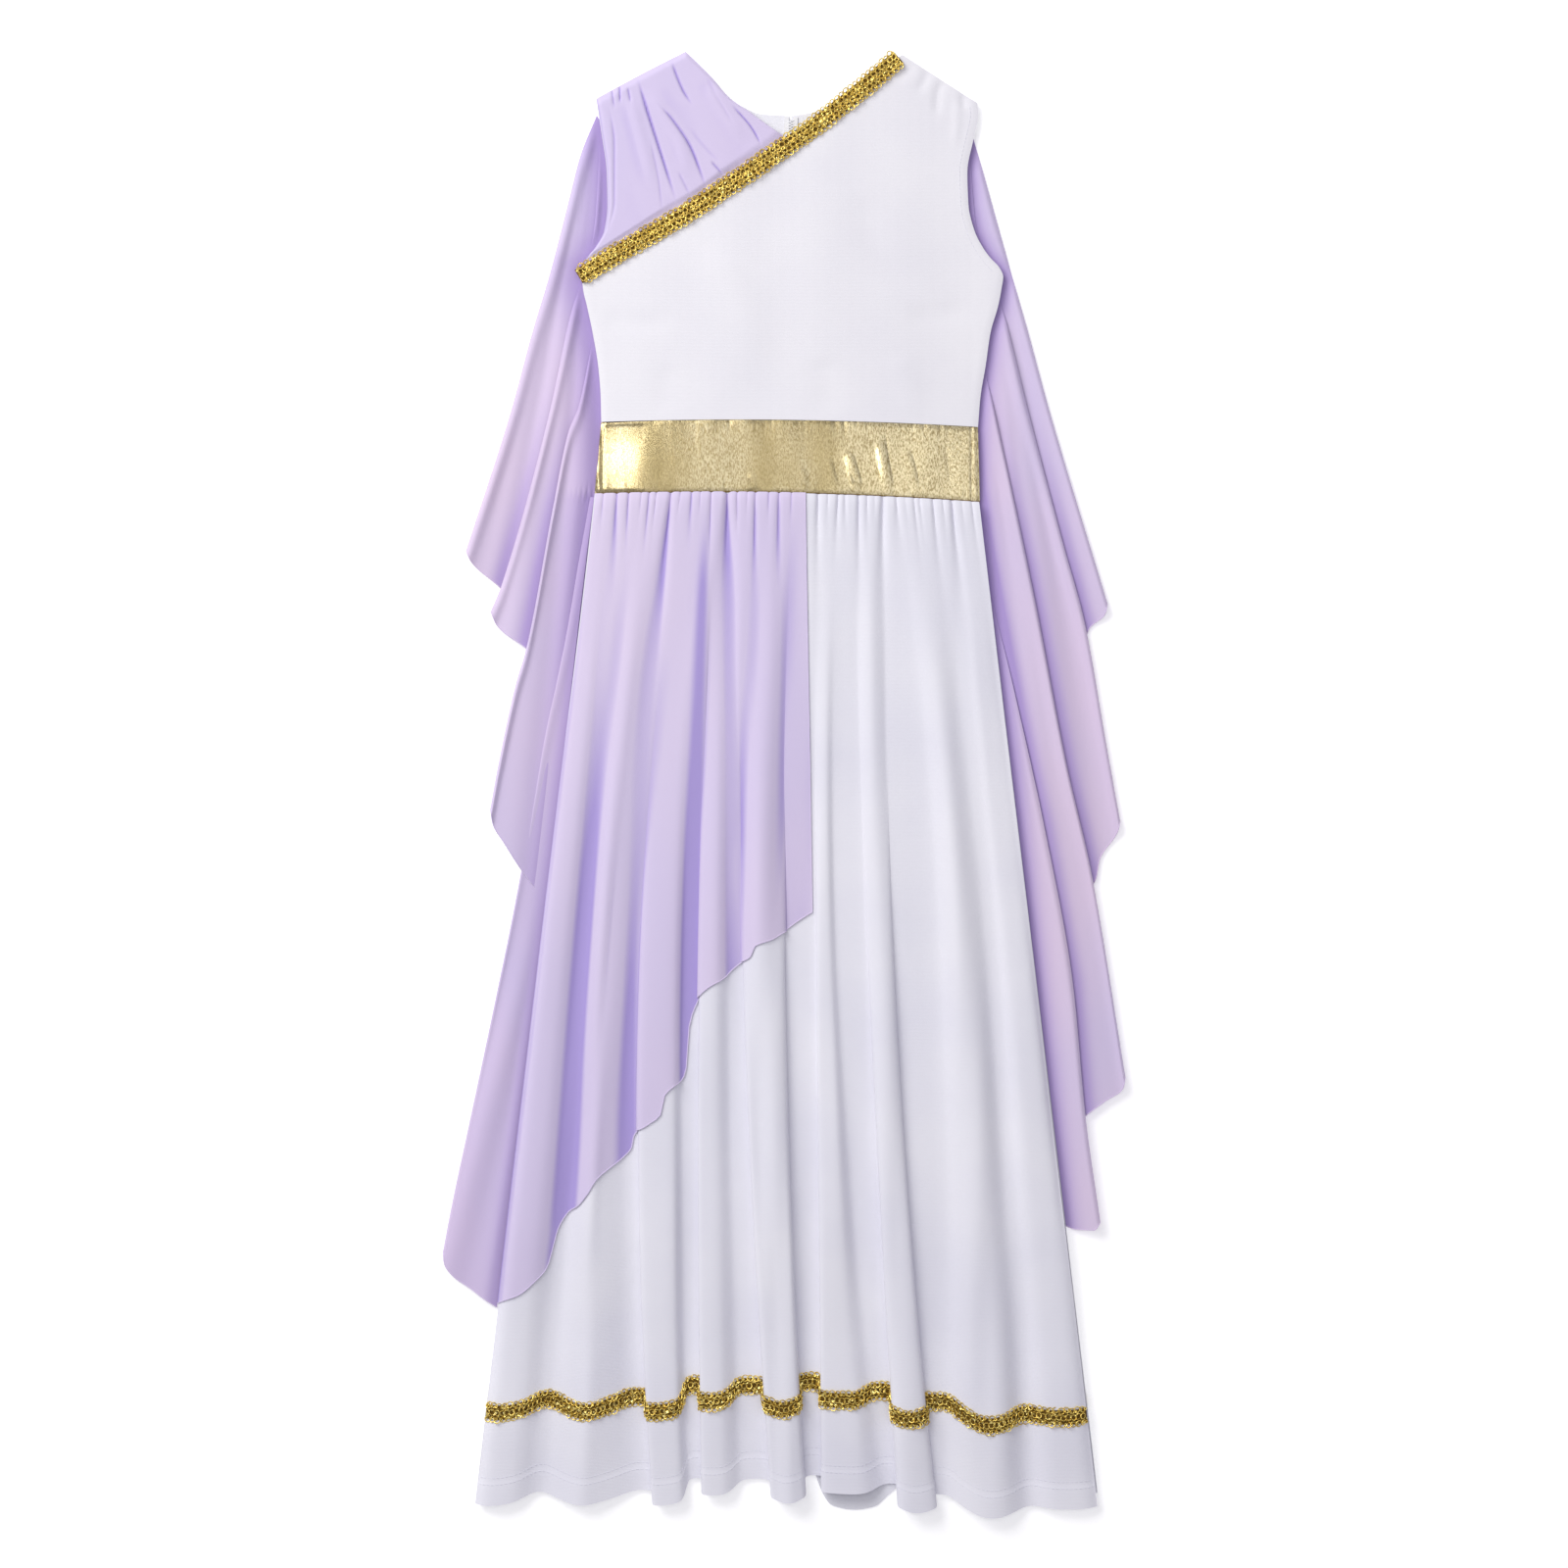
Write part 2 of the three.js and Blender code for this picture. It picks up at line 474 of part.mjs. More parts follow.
const wrinkled = (x, number, up) => bodiceFrontLevel(x)
  + WRINKLE * (number % 2) * (0.4 + 0.6 * Math.abs(Math.sin(number * 1.7))) * Math.sin(Math.PI * (0.15 + 0.7 * up));
garment.add(raisedWall('waistband_front', goldLame(),
  bandGrid(LEFT_BAND_END, RIGHT_BAND_END, BAND_COLUMNS, wrinkled), KNIT));
garment.add(raisedWall('waistband_back_left', goldLame(),
  bandGrid(LEFT_BAND_END, zipBandEnd(-1), BACK_HALF, backHeight), KNIT));
garment.add(raisedWall('waistband_back_right', goldLame(),
  bandGrid(zipBandEnd(1), RIGHT_BAND_END, BACK_HALF, backHeight), KNIT));

// The two zip tapes inside the back, and the slider at the top on its outer side
const ZIP_TAPE = 0.8;
for (const [name, side] of [['zip_tape_left', -1], ['zip_tape_right', 1]]) {
  const inside = ZIP_LINE + side * SEAM;
  const tape = [[WAIST_BOTTOM + 3, BACK_NECK].map((y) => [inside, inside + side * ZIP_TAPE_WIDTH]
    .map((x) => new THREE.Vector3(x, y, BACK_LEVEL + KNIT + SEAM)))];
  garment.add(raisedWall(name, zipWhite(), tape, ZIP_TAPE));
}
const SLIDER = { width: 5, length: 10, thickness: 2, below: 14 };
const sliderShape = new THREE.Shape([
  new THREE.Vector2(-SLIDER.width / 2, SLIDER.length / 2), new THREE.Vector2(-SLIDER.width / 3, -SLIDER.length / 2),
  new THREE.Vector2(SLIDER.width / 3, -SLIDER.length / 2), new THREE.Vector2(SLIDER.width / 2, SLIDER.length / 2),
]);
const slider = new THREE.Mesh(
  new THREE.ExtrudeGeometry(sliderShape, { depth: SLIDER.thickness, bevelEnabled: false }), zipWhite());
slider.name = 'zip_slider';
slider.position.set(ZIP_LINE, BACK_NECK - SLIDER.below, BACK_LEVEL - SEAM - SLIDER.thickness);
garment.add(slider);

// Chiffon over the chest: gathers run from the shoulder down to the braid
function chestPoint(across, down) {
  const top = alongPoints(CHEST_OVERLAY_TOP, across);
  const bottom = alongPoints(CHEST_OVERLAY_BOTTOM, across);
  const straight = lerp(top[0], bottom[0], down);
  const y = lerp(top[1], bottom[1], down);
  const armhole = lookUp(LEFT_SIDE, 'y', 'x', Math.max(y, CHEST_OVERLAY_BOTTOM[0][1])) + SEAM;
  const x = straight + (armhole - straight) * (1 - across) ** 3;
  const ridge = 0.5 - 0.5 * Math.cos(2 * Math.PI * across * CHEST_CREASES);
  const toBraid = (1 - down) * Math.hypot(top[0] - bottom[0], top[1] - bottom[1]);
  const height = CHEST_CREASE_HEIGHT * ridge * ease((toBraid - CHEST_CREASE_END) / CHEST_CREASE_FADE);
  return new THREE.Vector3(x, y, bodiceFrontLevel(x) + KNIT + SEAM + height);
}
const chestGrid = [[0, 0.12, 0.28, 0.44, 0.6, 0.75, 0.87, 1].map((down) => evenParts(CHEST_CREASES * 3)
  .map((across) => chestPoint(across, down)))];
garment.add(raisedWall('chest_overlay', lilacChiffon(), chestGrid, CHIFFON));

// Gold braid across the chest, with a scalloped edge on both sides
const braidLine = new THREE.CatmullRomCurve3(CHEST_BRAID_LINE.map(([x, y]) => new THREE.Vector3(x, y, 0)));
const braidSteps = Math.round(braidLine.getLength() / SCALLOP_PITCH) * 2;
const chestBraidGrid = [evenParts(braidSteps).map((part, number) => {
  const middle = braidLine.getPointAt(part);
  const along = braidLine.getTangentAt(part);
  const half = CHEST_BRAID_WIDTH / 2 - SCALLOP_DEPTH * (number % 2);
  return [-half, 0, half].map((offset) => {
    const x = middle.x - along.y * offset;
    const y = middle.y + along.x * offset;
    return new THREE.Vector3(x, y, bodiceFrontLevel(x) + KNIT + SEAM + CHIFFON + SEAM);
  });
})];
garment.add(raisedWall('chest_braid', goldBraid(), chestBraidGrid, BRAID));

// Side panel of the overlay, from the skirt's side out to its own edge
const sideLevel = (y, part) => BACK_LEVEL * (1 - 0.7 * part * ease((-60 - y) / 200));
const sideGrid = [SIDE_PANEL.map(({ inner, outer }) => SIDE_PANEL_COLUMNS.map((part) => {
  const y = lerp(inner[1], outer[1], part);
  return new THREE.Vector3(lerp(inner[0], outer[0], part), y, sideLevel(y, part));
}))];
garment.add(raisedWall('skirt_overlay_side', lilacChiffon(), sideGrid, CHIFFON));

// The back drape: fans of folded panels on both sides of one plain middle
function solidOf(geometry) {
  geometry.deleteAttribute('normal');
  geometry.deleteAttribute('uv');
  const merged = mergeVertices(geometry, 1e-4);
  return new wasm.Manifold(new wasm.Mesh({
    numProp: 3,
    vertProperties: new Float32Array(merged.attributes.position.array),
    triVerts: new Uint32Array(merged.index.array),
  }));
}
const drapeSolid = DRAPE_PANELS.map(({ top, outline }) => {
  const shape = new THREE.Shape(outline.map(([x, y]) => new THREE.Vector2(x, y)));
  return solidOf(new THREE.ExtrudeGeometry(shape, { depth: top, bevelEnabled: false }));
}).reduce((joined, panel) => joined.add(panel));
const drapeMesh = drapeSolid.getMesh();
const drapeGeometry = new THREE.BufferGeometry();
drapeGeometry.setAttribute('position', new THREE.BufferAttribute(new Float32Array(drapeMesh.vertProperties), 3));
drapeGeometry.setIndex(new THREE.BufferAttribute(new Uint32Array(drapeMesh.triVerts), 1));
const drape = new THREE.Mesh(drapeGeometry, lilacChiffon());
drape.name = 'back_drape';
garment.add(drape);

// The origin is under the middle of the whole garment
const whole = new THREE.Box3().setFromObject(garment);
const centre = whole.getCenter(new THREE.Vector3());
garment.position.set(-centre.x, -centre.y, -whole.min.z);
garment.updateMatrixWorld(true);

export default garment;
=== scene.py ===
# Toga costume dress, laid flat on its back: the cloth, trims, sewing and finishes.
import math
from collections import namedtuple

import bpy
import numpy as np
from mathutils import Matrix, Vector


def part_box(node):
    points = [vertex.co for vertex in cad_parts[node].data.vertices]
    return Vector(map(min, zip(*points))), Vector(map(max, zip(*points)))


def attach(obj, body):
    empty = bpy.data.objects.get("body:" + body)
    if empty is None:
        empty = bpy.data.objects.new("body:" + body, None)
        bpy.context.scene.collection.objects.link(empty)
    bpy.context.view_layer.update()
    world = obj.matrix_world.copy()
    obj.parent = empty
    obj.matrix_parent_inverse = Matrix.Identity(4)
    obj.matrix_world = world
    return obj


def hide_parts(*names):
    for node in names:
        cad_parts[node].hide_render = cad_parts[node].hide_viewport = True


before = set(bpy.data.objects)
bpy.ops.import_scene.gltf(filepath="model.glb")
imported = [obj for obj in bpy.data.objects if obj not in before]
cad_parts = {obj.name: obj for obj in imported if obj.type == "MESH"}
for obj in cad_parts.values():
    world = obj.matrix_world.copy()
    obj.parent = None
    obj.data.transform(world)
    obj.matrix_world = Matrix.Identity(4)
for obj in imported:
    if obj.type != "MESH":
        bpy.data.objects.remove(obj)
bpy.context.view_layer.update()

# Millimetres in the garment's own frame: +X to the right, +Y to the shoulders, +Z up
MM = 0.001
KNIT = 1.3
CHIFFON = 1.0
SEAM = 0.3
SLACK = 0.7              # air between the back and the front of the skirt
DRAPE_STACK = 3.2
BACK_LEVEL = DRAPE_STACK + SEAM          # undersides of the dress's back and front
FRONT_LEVEL = BACK_LEVEL + KNIT + SEAM
FLOOR_GAP = 0.1          # least height of the drape above the floor
CROWN = 3.0              # how far the front rises to its middle
CROWN_HALF_WIDTH = 150
WAIST_BOTTOM = 231
HEM_BRAID_ABOVE_HEM = 74.5
ZIP_LINE = 5.5
BACK_NECK = 531
KNIT_CLOTH = 0.8         # real walls of the cloth, inside the thicker solids
CHIFFON_CLOTH = 0.35
LAME_CLOTH = 0.7
BACK_LIFT = 0.15         # underside of the back pieces above that of their solids

# The zip tape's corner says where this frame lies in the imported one
zip_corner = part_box("zip_tape_left")[1]
ORIGIN = np.array([zip_corner.x / MM - (ZIP_LINE - SEAM), zip_corner.y / MM - BACK_NECK, 0.0])

# The camera looks straight down on the middle of the photo's frame
CAMERA_HEIGHT = 3200
VIEW_WIDTH = 1248
SENSOR_WIDTH = 36

camera_data = bpy.data.cameras.new("photo_camera")
camera_data.sensor_width = SENSOR_WIDTH
camera_data.lens = SENSOR_WIDTH * CAMERA_HEIGHT / VIEW_WIDTH
camera = bpy.data.objects.new("photo_camera", camera_data)
camera.location = (ORIGIN + [0, 0, CAMERA_HEIGHT]) * MM
bpy.context.scene.collection.objects.link(camera)
bpy.context.scene.camera = camera

# Outlines, as rows of x and y
LEFT_SIDE = [
    (-145, 289), (-145.5, 308), (-147.5, 332), (-152, 359), (-156.5, 380), (-159.5, 393),
    (-160, 399), (-159.2, 405), (-157.4, 416), (-150.5, 425), (-142.5, 440), (-140, 460),
    (-140.6, 486), (-144, 512), (-147, 531), (-149, 544),
]
RIGHT_SIDE = [
    (154, 283), (156, 308), (160, 332), (164, 359), (170, 380), (173, 395.5), (174, 403),
    (171, 410), (164.5, 417), (158.5, 425), (151, 440), (146.4, 460), (145.5, 486),
    (150.3, 512), (154, 531), (153.5, 541),
]
FRONT_NECK = [
    (-78, 581), (-58, 561), (-43, 544), (-28, 533.5), (-13, 522.6), (3, 512), (16, 522),
    (40, 541), (58, 555), (94, 579),
]
BACK_NECK_LEFT = [(-78, 581), (-59, 561), (-43, 544), (-30, 537), (-19, 532.5), (5.2, 531)]
BACK_NECK_RIGHT = [(5.8, 531), (24, 534), (38, 541), (58, 555), (94, 579)]

# Seams of the waistband: shallow arcs, highest left of the middle
Seam = namedtuple("Seam", "highest at fall across")
WAIST_TOP_SEAM = Seam(289, -40, 6, 200)
WAIST_BOTTOM_SEAM = Seam(231.6, -60, 7.5, 215)

# Folds of the skirt front from left to right: each is a ridge between two feet,
# and tuck is how far the cloth turns in under the ridge at either side
Fold = namedtuple("Fold", "waist knee hem crest height hem_crest hem_trough gathers tuck")
FOLDS = [Fold(*row) for row in (
    ((-150.5, -137), (-203.8, -171), (-245, -198), (-240, -218), 9, -574, -561, 3, (0, 0)),
    ((-132, -93), (-162, -124), (-192, -116), (-170, -150), 9, -573, -560, 4, (0, 0)),
    ((-89, -63), (-115, -81), (-104, -76), (-99.5, -83), 11, -575.5, -551.5, 3, (1.2, 0)),
    ((-59, -44), (-67.5, -43), (-65, -33), (-61, -49), 11, -567, -552, 3, (3.0, 0)),
    ((-40, 10), (-30, 2), (-10, 17), (-5, 11.7), 13, -570, -549, 5, (2.4, 2.8)),
    ((17, 45), (27, 46), (30, 80), (34.5, 60), 10, -565.5, -556, 3, (3.4, 0)),
    ((50, 85), (71, 91), (90.5, 121), (95, 114.5), 13, -578, -562, 4, (2.6, 3.2)),
    ((89, 128), (125, 168), (129, 192), (151, 175), 12, -583, -573, 4, (0, 0)),
    ((132, 155.5), (177, 208.5), (200, 249.5), (214, 243), 8, -576.5, -572, 3, (0, 0)),
)]
LEFT_CORNER_HEM = -571
KNEE = 0.564
OVERLAY_LAST_FOLD = 5
BACK_LEVELS = [(-600, 0), (-556, 0), (-512, 1.6), (-440, 1.6), (-356, BACK_LEVEL), (600, BACK_LEVEL)]
BACK_HEM = [
    (-245, -566), (-195, -556), (-120, -556), (-90, -552), (-70, -546), (-26, -546), (6, -544),
    (22, -544), (30, -563), (38, -574), (56, -577.5), (72, -575), (83, -566), (95, -557),
    (131, -556), (193, -567), (249.5, -564),
]
OVERLAY_HEM = [
    (-235, -420), (-222, -410), (-209, -404), (-198, -394), (-189, -383), (-184, -367),
    (-179, -351), (-171, -340), (-163, -335), (-155, -325), (-149, -313), (-141, -306),
    (-128, -296), (-120, -287), (-119, -279), (-108, -270), (-98, -262), (-96, -249),
    (-88, -239.5), (-78.5, -230), (-75, -190), (-68, -172), (-64, -165), (-49, -154),
    (-36, -143), (-26, -137), (-22, -128), (-9, -122.5), (13.6, -107), (24, -101), (40, -97),
]

# Gathers under the waistband: place along the seam, depth, length and half width
Gather = namedtuple("Gather", "x depth length half_width")
GATHERS = [Gather(*row) for row in (
    (-143, 1.0, 25, 1.1), (-132.5, 1.5, 60, 1.4), (-123, 2.0, 28, 1.1),
    (-113, 0.8, 16, 0.9), (-106.5, 1.9, 30, 1.0), (-101, 1.3, 22, 0.9),
    (-89.5, 3.2, 130, 1.4), (-82, 0.8, 14, 0.9), (-73, 1.5, 26, 1.1),
    (-66, 0.7, 14, 0.9), (-57.5, 2.7, 36, 1.1), (-45, 3.6, 135, 1.9),
    (-37, 1.9, 26, 1.0), (-29, 0.7, 14, 0.9), (-22.5, 2.8, 50, 1.0),
    (-12, 0.9, 18, 1.0), (-4, 1.6, 70, 1.2), (6, 0.8, 18, 0.9),
    (27, 2.2, 60, 1.3), (35, 1.0, 18, 0.9), (43, 2.0, 40, 1.1),
    (48.5, 1.6, 24, 0.9), (59, 2.2, 70, 1.2), (66, 1.2, 26, 1.0),
    (72, 0.7, 14, 0.9), (78.5, 2.9, 110, 1.7), (89, 1.6, 36, 1.1),
    (96, 0.7, 16, 0.9), (103, 1.7, 34, 1.0), (107.5, 1.3, 24, 0.9),
    (118, 1.8, 60, 1.2), (126, 1.0, 22, 0.9), (133, 2.6, 85, 1.3),
    (141, 0.8, 20, 0.9), (149, 1.3, 40, 1.1),
)]

# Creases: half width, depth and the line that each follows. A negative depth is a ridge.
Crease = namedtuple("Crease", "half_width depth line")
CHEST_CREASES = [Crease(*row) for row in (
    (1.1, 1.8, [(-115.6, 557.7), (-108, 533), (-98.7, 504), (-86, 464)]),
    (1.1, 1.7, [(-100.5, 541), (-87, 525), (-74, 505), (-62, 474)]),
    (0.9, 1.2, [(-130.5, 555), (-130, 540)]),
    (1.0, 1.4, [(-89, 572), (-79.6, 549.4), (-73, 539)]),
    (1.0, 1.4, [(-41, 538), (-26, 521), (-17, 505)]),
    (0.9, 0.4, [(-106, 510), (-99, 476), (-96.5, 452)]),
    (0.9, 0.6, [(-84, 486), (-74, 466)]),
    (0.9, 1.0, [(-58, 494), (-47, 482)]),
    (0.9, 0.8, [(-137, 553), (-134.5, 536)]),
    (1.2, 0.8, [(-139, 538), (-134.6, 508), (-134.6, 462), (-141, 434)]),
    (1.0, 1.0, [(-124, 553), (-121.5, 540)]),
    (1.6, 0.35, [(-62, 561), (-52, 543), (-38, 520)]),
    (1.8, 0.35, [(-75, 520), (-60, 502), (-49, 492)]),
    (5.0, -1.0, [(-123, 550), (-114, 515), (-102, 470)]),
    (5.0, -0.9, [(-108, 552), (-94, 530), (-82, 510), (-74, 480)]),
    (6.0, -0.8, [(-62, 555), (-46, 532), (-30, 508)]),
)]
BODICE_CREASES = [Crease(*row) for row in (
    (3.5, 0.9, [(116, 568), (110, 556), (105, 548)]),
    (3.2, 1.1, [(127, 560), (122, 547), (121, 530)]),
    (3.0, 1.2, [(142, 549), (143.5, 535)]),
    (4.0, 0.6, [(103, 572), (92, 562), (86, 560)]),
    (3.0, -0.7, [(138, 545), (137, 520), (136, 505)]),
    (12, 0.7, [(60, 470), (75, 420), (110, 390)]),
    (10, 0.6, [(150, 380), (120, 372), (95, 372)]),
    (9, 0.7, [(-145, 372), (-110, 366), (-85, 368)]),
    (14, -0.8, [(-60, 430), (-30, 380), (-20, 320)]),
    (12, 0.7, [(30, 340), (34, 310), (32, 290)]),
    (11, -0.6, [(90, 345), (100, 310), (104, 286)]),
    (10, 0.5, [(-90, 335), (-94, 310), (-93, 292)]),
)]
BAND_CREASES = [Crease(*row) for row in (
    (4.0, -0.65, [(50, 266), (54, 250), (60, 234)]),
    (0.8, 0.5, [(56, 262), (60, 248), (65, 233)]),
    (4.2, -0.7, [(74, 275), (78, 256), (83, 233)]),
    (0.8, 0.6, [(80, 279), (84, 256), (89, 232)]),
    (3.0, -0.5, [(96, 266), (101, 248), (104, 234)]),
    (0.9, 0.4, [(101, 266), (106, 248), (109, 233)]),
    (2.6, -0.4, [(35, 258), (38, 245), (41, 235)]),
    (0.9, 0.3, [(39, 258), (42, 245), (45, 235)]),
    (2.4, -0.4, [(13, 252), (16, 243), (18, 234)]),
    (3.0, -0.5, [(-27, 247), (-25, 240), (-23, 233)]),
    (2.0, -0.2, [(-68, 286), (-66, 262), (-64, 240)]),
    (2.4, -0.2, [(-90, 286), (-88, 262), (-86, 240)]),
    (1.8, 0.3, [(128, 270), (131, 250), (132, 236)]),
)]
# Smooth flanks of two wrinkles of the waistband
BAND_SHINE = [Crease(*row) for row in (
    (2.6, 0.95, [(46.5, 268), (51, 250), (57, 230)]),
    (2.8, 0.95, [(70.5, 278), (75, 256), (80, 229)]),
)]

# Panels of the back drape, lowest first: outer edge, hem and the hidden inner edge
Panel = namedtuple("Panel", "level outer hem inner")
DRAPE_PANELS = {
    "left": [
        Panel(0.2, [(-149, 532), (-162, 499), (-172, 460), (-186, 406), (-200, 359), (-217, 296),
                    (-252.7, 185)],
              [(-252.7, 185), (-248, 176), (-226.7, 157), (-203, 131)],
              [(-128, 500), (-150, 345), (-203, 131)]),
        Panel(1.0, [(-146, 531), (-150, 450), (-171, 367), (-186, 296), (-225, 156), (-233, 137)],
              [(-233, 137), (-228, 126), (-205, 108), (-186, 92)],
              [(-126, 500), (-140, 345), (-166, 221), (-186, 92)]),
        Panel(1.8, [(-143, 528), (-142, 440), (-154, 345), (-163, 300), (-171, 280), (-183, 221),
                    (-204, 109), (-213, 78), (-227, 13), (-233, -20)],
              [(-233, -20), (-231, -32), (-222, -47), (-208, -69), (-190, -92), (-165, -110)],
              [(-122, 500), (-130, 300), (-150, 100), (-165, -110)]),
    ],
    "right": [
        Panel(0.2, [(149, 520), (160, 480.5), (174, 430), (194, 359), (211, 296), (257, 143)],
              [(257, 143), (255, 135), (243, 124), (238, 112), (222, 100)],
              [(128, 500), (160, 370), (190, 250), (222, 100)]),
        Panel(0.9, [(147, 518), (152, 450), (172, 384), (194, 296), (221.5, 191.5), (239, 127),
                    (256, 31), (267, -30)],
              [(267, -30), (265, -38), (251, -60), (248, -75), (241, -86), (222, -102)],
              [(127, 500), (150, 330), (180, 180), (205, 30), (222, -102)]),
        Panel(1.6, [(144, 516), (146, 420), (160, 330), (171, 278.5), (199, 146), (224, 16),
                    (244, -71), (271, -233)],
              [(271, -233), (269, -242), (255, -252), (239, -264), (214, -285)],
              [(125, 500), (148, 280), (170, 90), (200, -100), (214, -285)]),
        Panel(2.3, [(140, 510), (142, 330), (155, 200), (182, 78), (206.5, -34), (229, -158),
                    (239, -263), (251, -348)],
              [(251, -348), (246, -354), (233, -354), (220, -350), (200, -346)],
              [(122, 490), (145, 80), (170, -120), (200, -346)]),
    ],
}
SHOULDERS = {"left": (-146, 560), "right": (150, 550)}

# Hidden middle of the drape: its lower, upper, left and right edge
DRAPE_MIDDLE = [
    [(-205, -330), (-120, -326), (0, -330), (120, -334), (210, -346)],
    [(-141, 528), (-120, 470), (-60, 425), (0, 412), (60, 425), (120, 466), (140, 510)],
    [(-205, -330), (-190, -90), (-160, 90), (-148, 330), (-141, 528)],
    [(210, -346), (190, -120), (160, 90), (150, 330), (140, 510)],
]

# Side panel of the overlay: its inner line under the skirt's side, and its outer edge
SIDE_INNER = [(-150.8, 228), (-157, 180), (-173.5, 40), (-190.2, -100), (-209.5, -260), (-228.2, -416)]
SIDE_OUTER = [
    (-154, 228), (-162.5, 180), (-173.5, 115), (-189.5, 40), (-202.5, -35), (-214.5, -100),
    (-231, -180), (-248, -260), (-264, -335), (-271, -372),
]
SIDE_HEM = [(-228.2, -416), (-237, -410), (-249, -401), (-263, -391), (-270, -381), (-271, -372)]

CHEST_BRAID_LINE = [
    (91, 576.5), (62, 551.8), (44.5, 537.8), (20, 518.8), (-3, 503), (-28, 485.6), (-53, 469),
    (-75, 454.4), (-100, 439.6), (-122.5, 426.8), (-145, 413.8), (-163, 402.8),
]
CHEST_TOP = [(-149, 544), (-125, 557), (-101, 569.5), (-78, 581)]
CHEST_NECK = [(-78, 581), (-58, 561), (-43, 544), (-28, 533.5), (-13, 522.6), (0, 513.5)]
CHEST_BOTTOM = [
    (-158, 407), (-145, 415), (-122.5, 429), (-100, 443), (-75, 457.5), (-53, 474), (-28, 490),
    (-10, 500), (3, 509),
]


# Curves and grids

LINE_STEPS = 600        # fine steps of a smooth line before it is divided evenly
CREASE_STEPS = 24
CREASE_FADE_IN = 0.3    # parts of a crease over which it fades at its two ends
CREASE_FADE_OUT = 0.4
RIPPLE_WAVES = 7


def ease(value):
    return 0.5 - 0.5 * np.cos(np.pi * np.clip(value, 0, 1))


def bell(away, half_width):
    return np.exp(-((away / half_width) ** 2))


def lerp(start, end, part):
    return start + (end - start) * part


def through(knots, values, at):
    """Smooth curve through the rows of a table, which never overshoots between two rows."""
    knots = np.asarray(knots, float)
    values = np.asarray(values, float)
    steps = np.diff(knots)
    rises = np.diff(values) / steps
    before, after = rises[:-1], rises[1:]
    total = before + after
    turning = before * after <= 0
    inner = np.where(turning, 0, 2 * before * after / np.where(turning, 1, total))
    slopes = np.concatenate([rises[:1], inner, rises[-1:]])
    at = np.clip(at, knots[0], knots[-1])
    row = np.clip(np.searchsorted(knots, at, side="right") - 1, 0, len(steps) - 1)
    part = (at - knots[row]) / steps[row]
    rest = 1 - part
    level = values[row] * (1 + 2 * part) * rest ** 2 + values[row + 1] * part ** 2 * (3 - 2 * part)
    return level + steps[row] * part * rest * (slopes[row] * rest - slopes[row + 1] * part)


def walked(points):
    """Distance along a line of points, at each of them."""
    steps = np.linalg.norm(np.diff(points, axis=0), axis=1)
    return np.concatenate([[0], np.cumsum(steps)])


def read_along(at, marks, points):
    """Points of a line at given distances along it."""
    return np.stack([np.interp(at, marks, values) for values in np.transpose(points)], 1)


def line(points, count):
    """A smooth line through points, as a number of points evenly apart along it."""
    points = np.asarray(points, float)
    marks = walked(points)
    fine = np.linspace(0, marks[-1], LINE_STEPS)
    curve = np.stack([through(marks, points[:, axis], fine) for axis in range(points.shape[1])], 1)
    distance = walked(curve)
    return read_along(np.linspace(0, 1, count) * distance[-1], distance, curve)


def headings(points):
    """Unit steps along a line of points."""
    steps = np.gradient(np.asarray(points, float), axis=0)
    return steps / np.linalg.norm(steps, axis=1, keepdims=True)


def joined_lines(*parts):
    """Several lines that meet end to end, as one."""
    return np.concatenate([parts[0]] + [part[1:] for part in parts[1:]])


def patch(bottom, top, left, right):
    """Grid between four edges. Bottom and top run from left to right, left and right run up."""
    across = np.linspace(0, 1, len(bottom))[None, :, None]
    up = np.linspace(0, 1, len(left))[:, None, None]
    corners = (
        (1 - across) * (1 - up) * bottom[0] + across * (1 - up) * bottom[-1]
        + (1 - across) * up * top[0] + across * up * top[-1]
    )
    return (
        lerp(bottom[None], top[None], up) + lerp(left[:, None], right[:, None], across) - corners
    )


def seam_at(seam, x):
    return seam.highest - seam.fall * ((x - seam.at) / seam.across) ** 2


def back_level(y):
    return np.interp(y, *np.transpose(BACK_LEVELS))


def crown(x):
    return CROWN * np.maximum(0, 1 - (x / CROWN_HALF_WIDTH) ** 2)


def creased(x, y, creases):
    """Depth that a list of creases takes from a surface, each fading at its two ends."""
    total = np.zeros_like(x)
    for crease in creases:
        path = line(crease.line, CREASE_STEPS)
        marks = walked(path) / walked(path)[-1]
        nearest = np.full_like(x, 1e9)
        place = np.zeros_like(x)
        for start, end, mark, next_mark in zip(path[:-1], path[1:], marks[:-1], marks[1:]):
            step = end - start
            part = ((x - start[0]) * step[0] + (y - start[1]) * step[1]) / (step @ step)
            part = np.clip(part, 0, 1)
            away = np.hypot(x - start[0] - part * step[0], y - start[1] - part * step[1])
            closer = away < nearest
            nearest = np.where(closer, away, nearest)
            place = np.where(closer, lerp(mark, next_mark, part), place)
        fade = ease(np.minimum(place / CREASE_FADE_IN, (1 - place) / CREASE_FADE_OUT) + 0.15)
        total += crease.depth * fade * bell(nearest, crease.half_width)
    return total


def rippled(x, y, seed, size, height):
    """Low uneven swell of a laid cloth, with crests about a size apart."""
    chance = np.random.default_rng(seed)
    total = np.zeros_like(x)
    for _ in range(RIPPLE_WAVES):
        angle = chance.uniform(-0.5, 0.5)
        pitch = size * chance.uniform(0.7, 1.6)
        phase = chance.uniform(0, 2 * math.pi)
        along = x * math.cos(angle) + 0.35 * y * math.sin(angle)
        total += np.sin(2 * math.pi * along / pitch + phase + 0.9 * np.sin(y / (2.3 * size) + phase))
    return height * total / (RIPPLE_WAVES / 2)


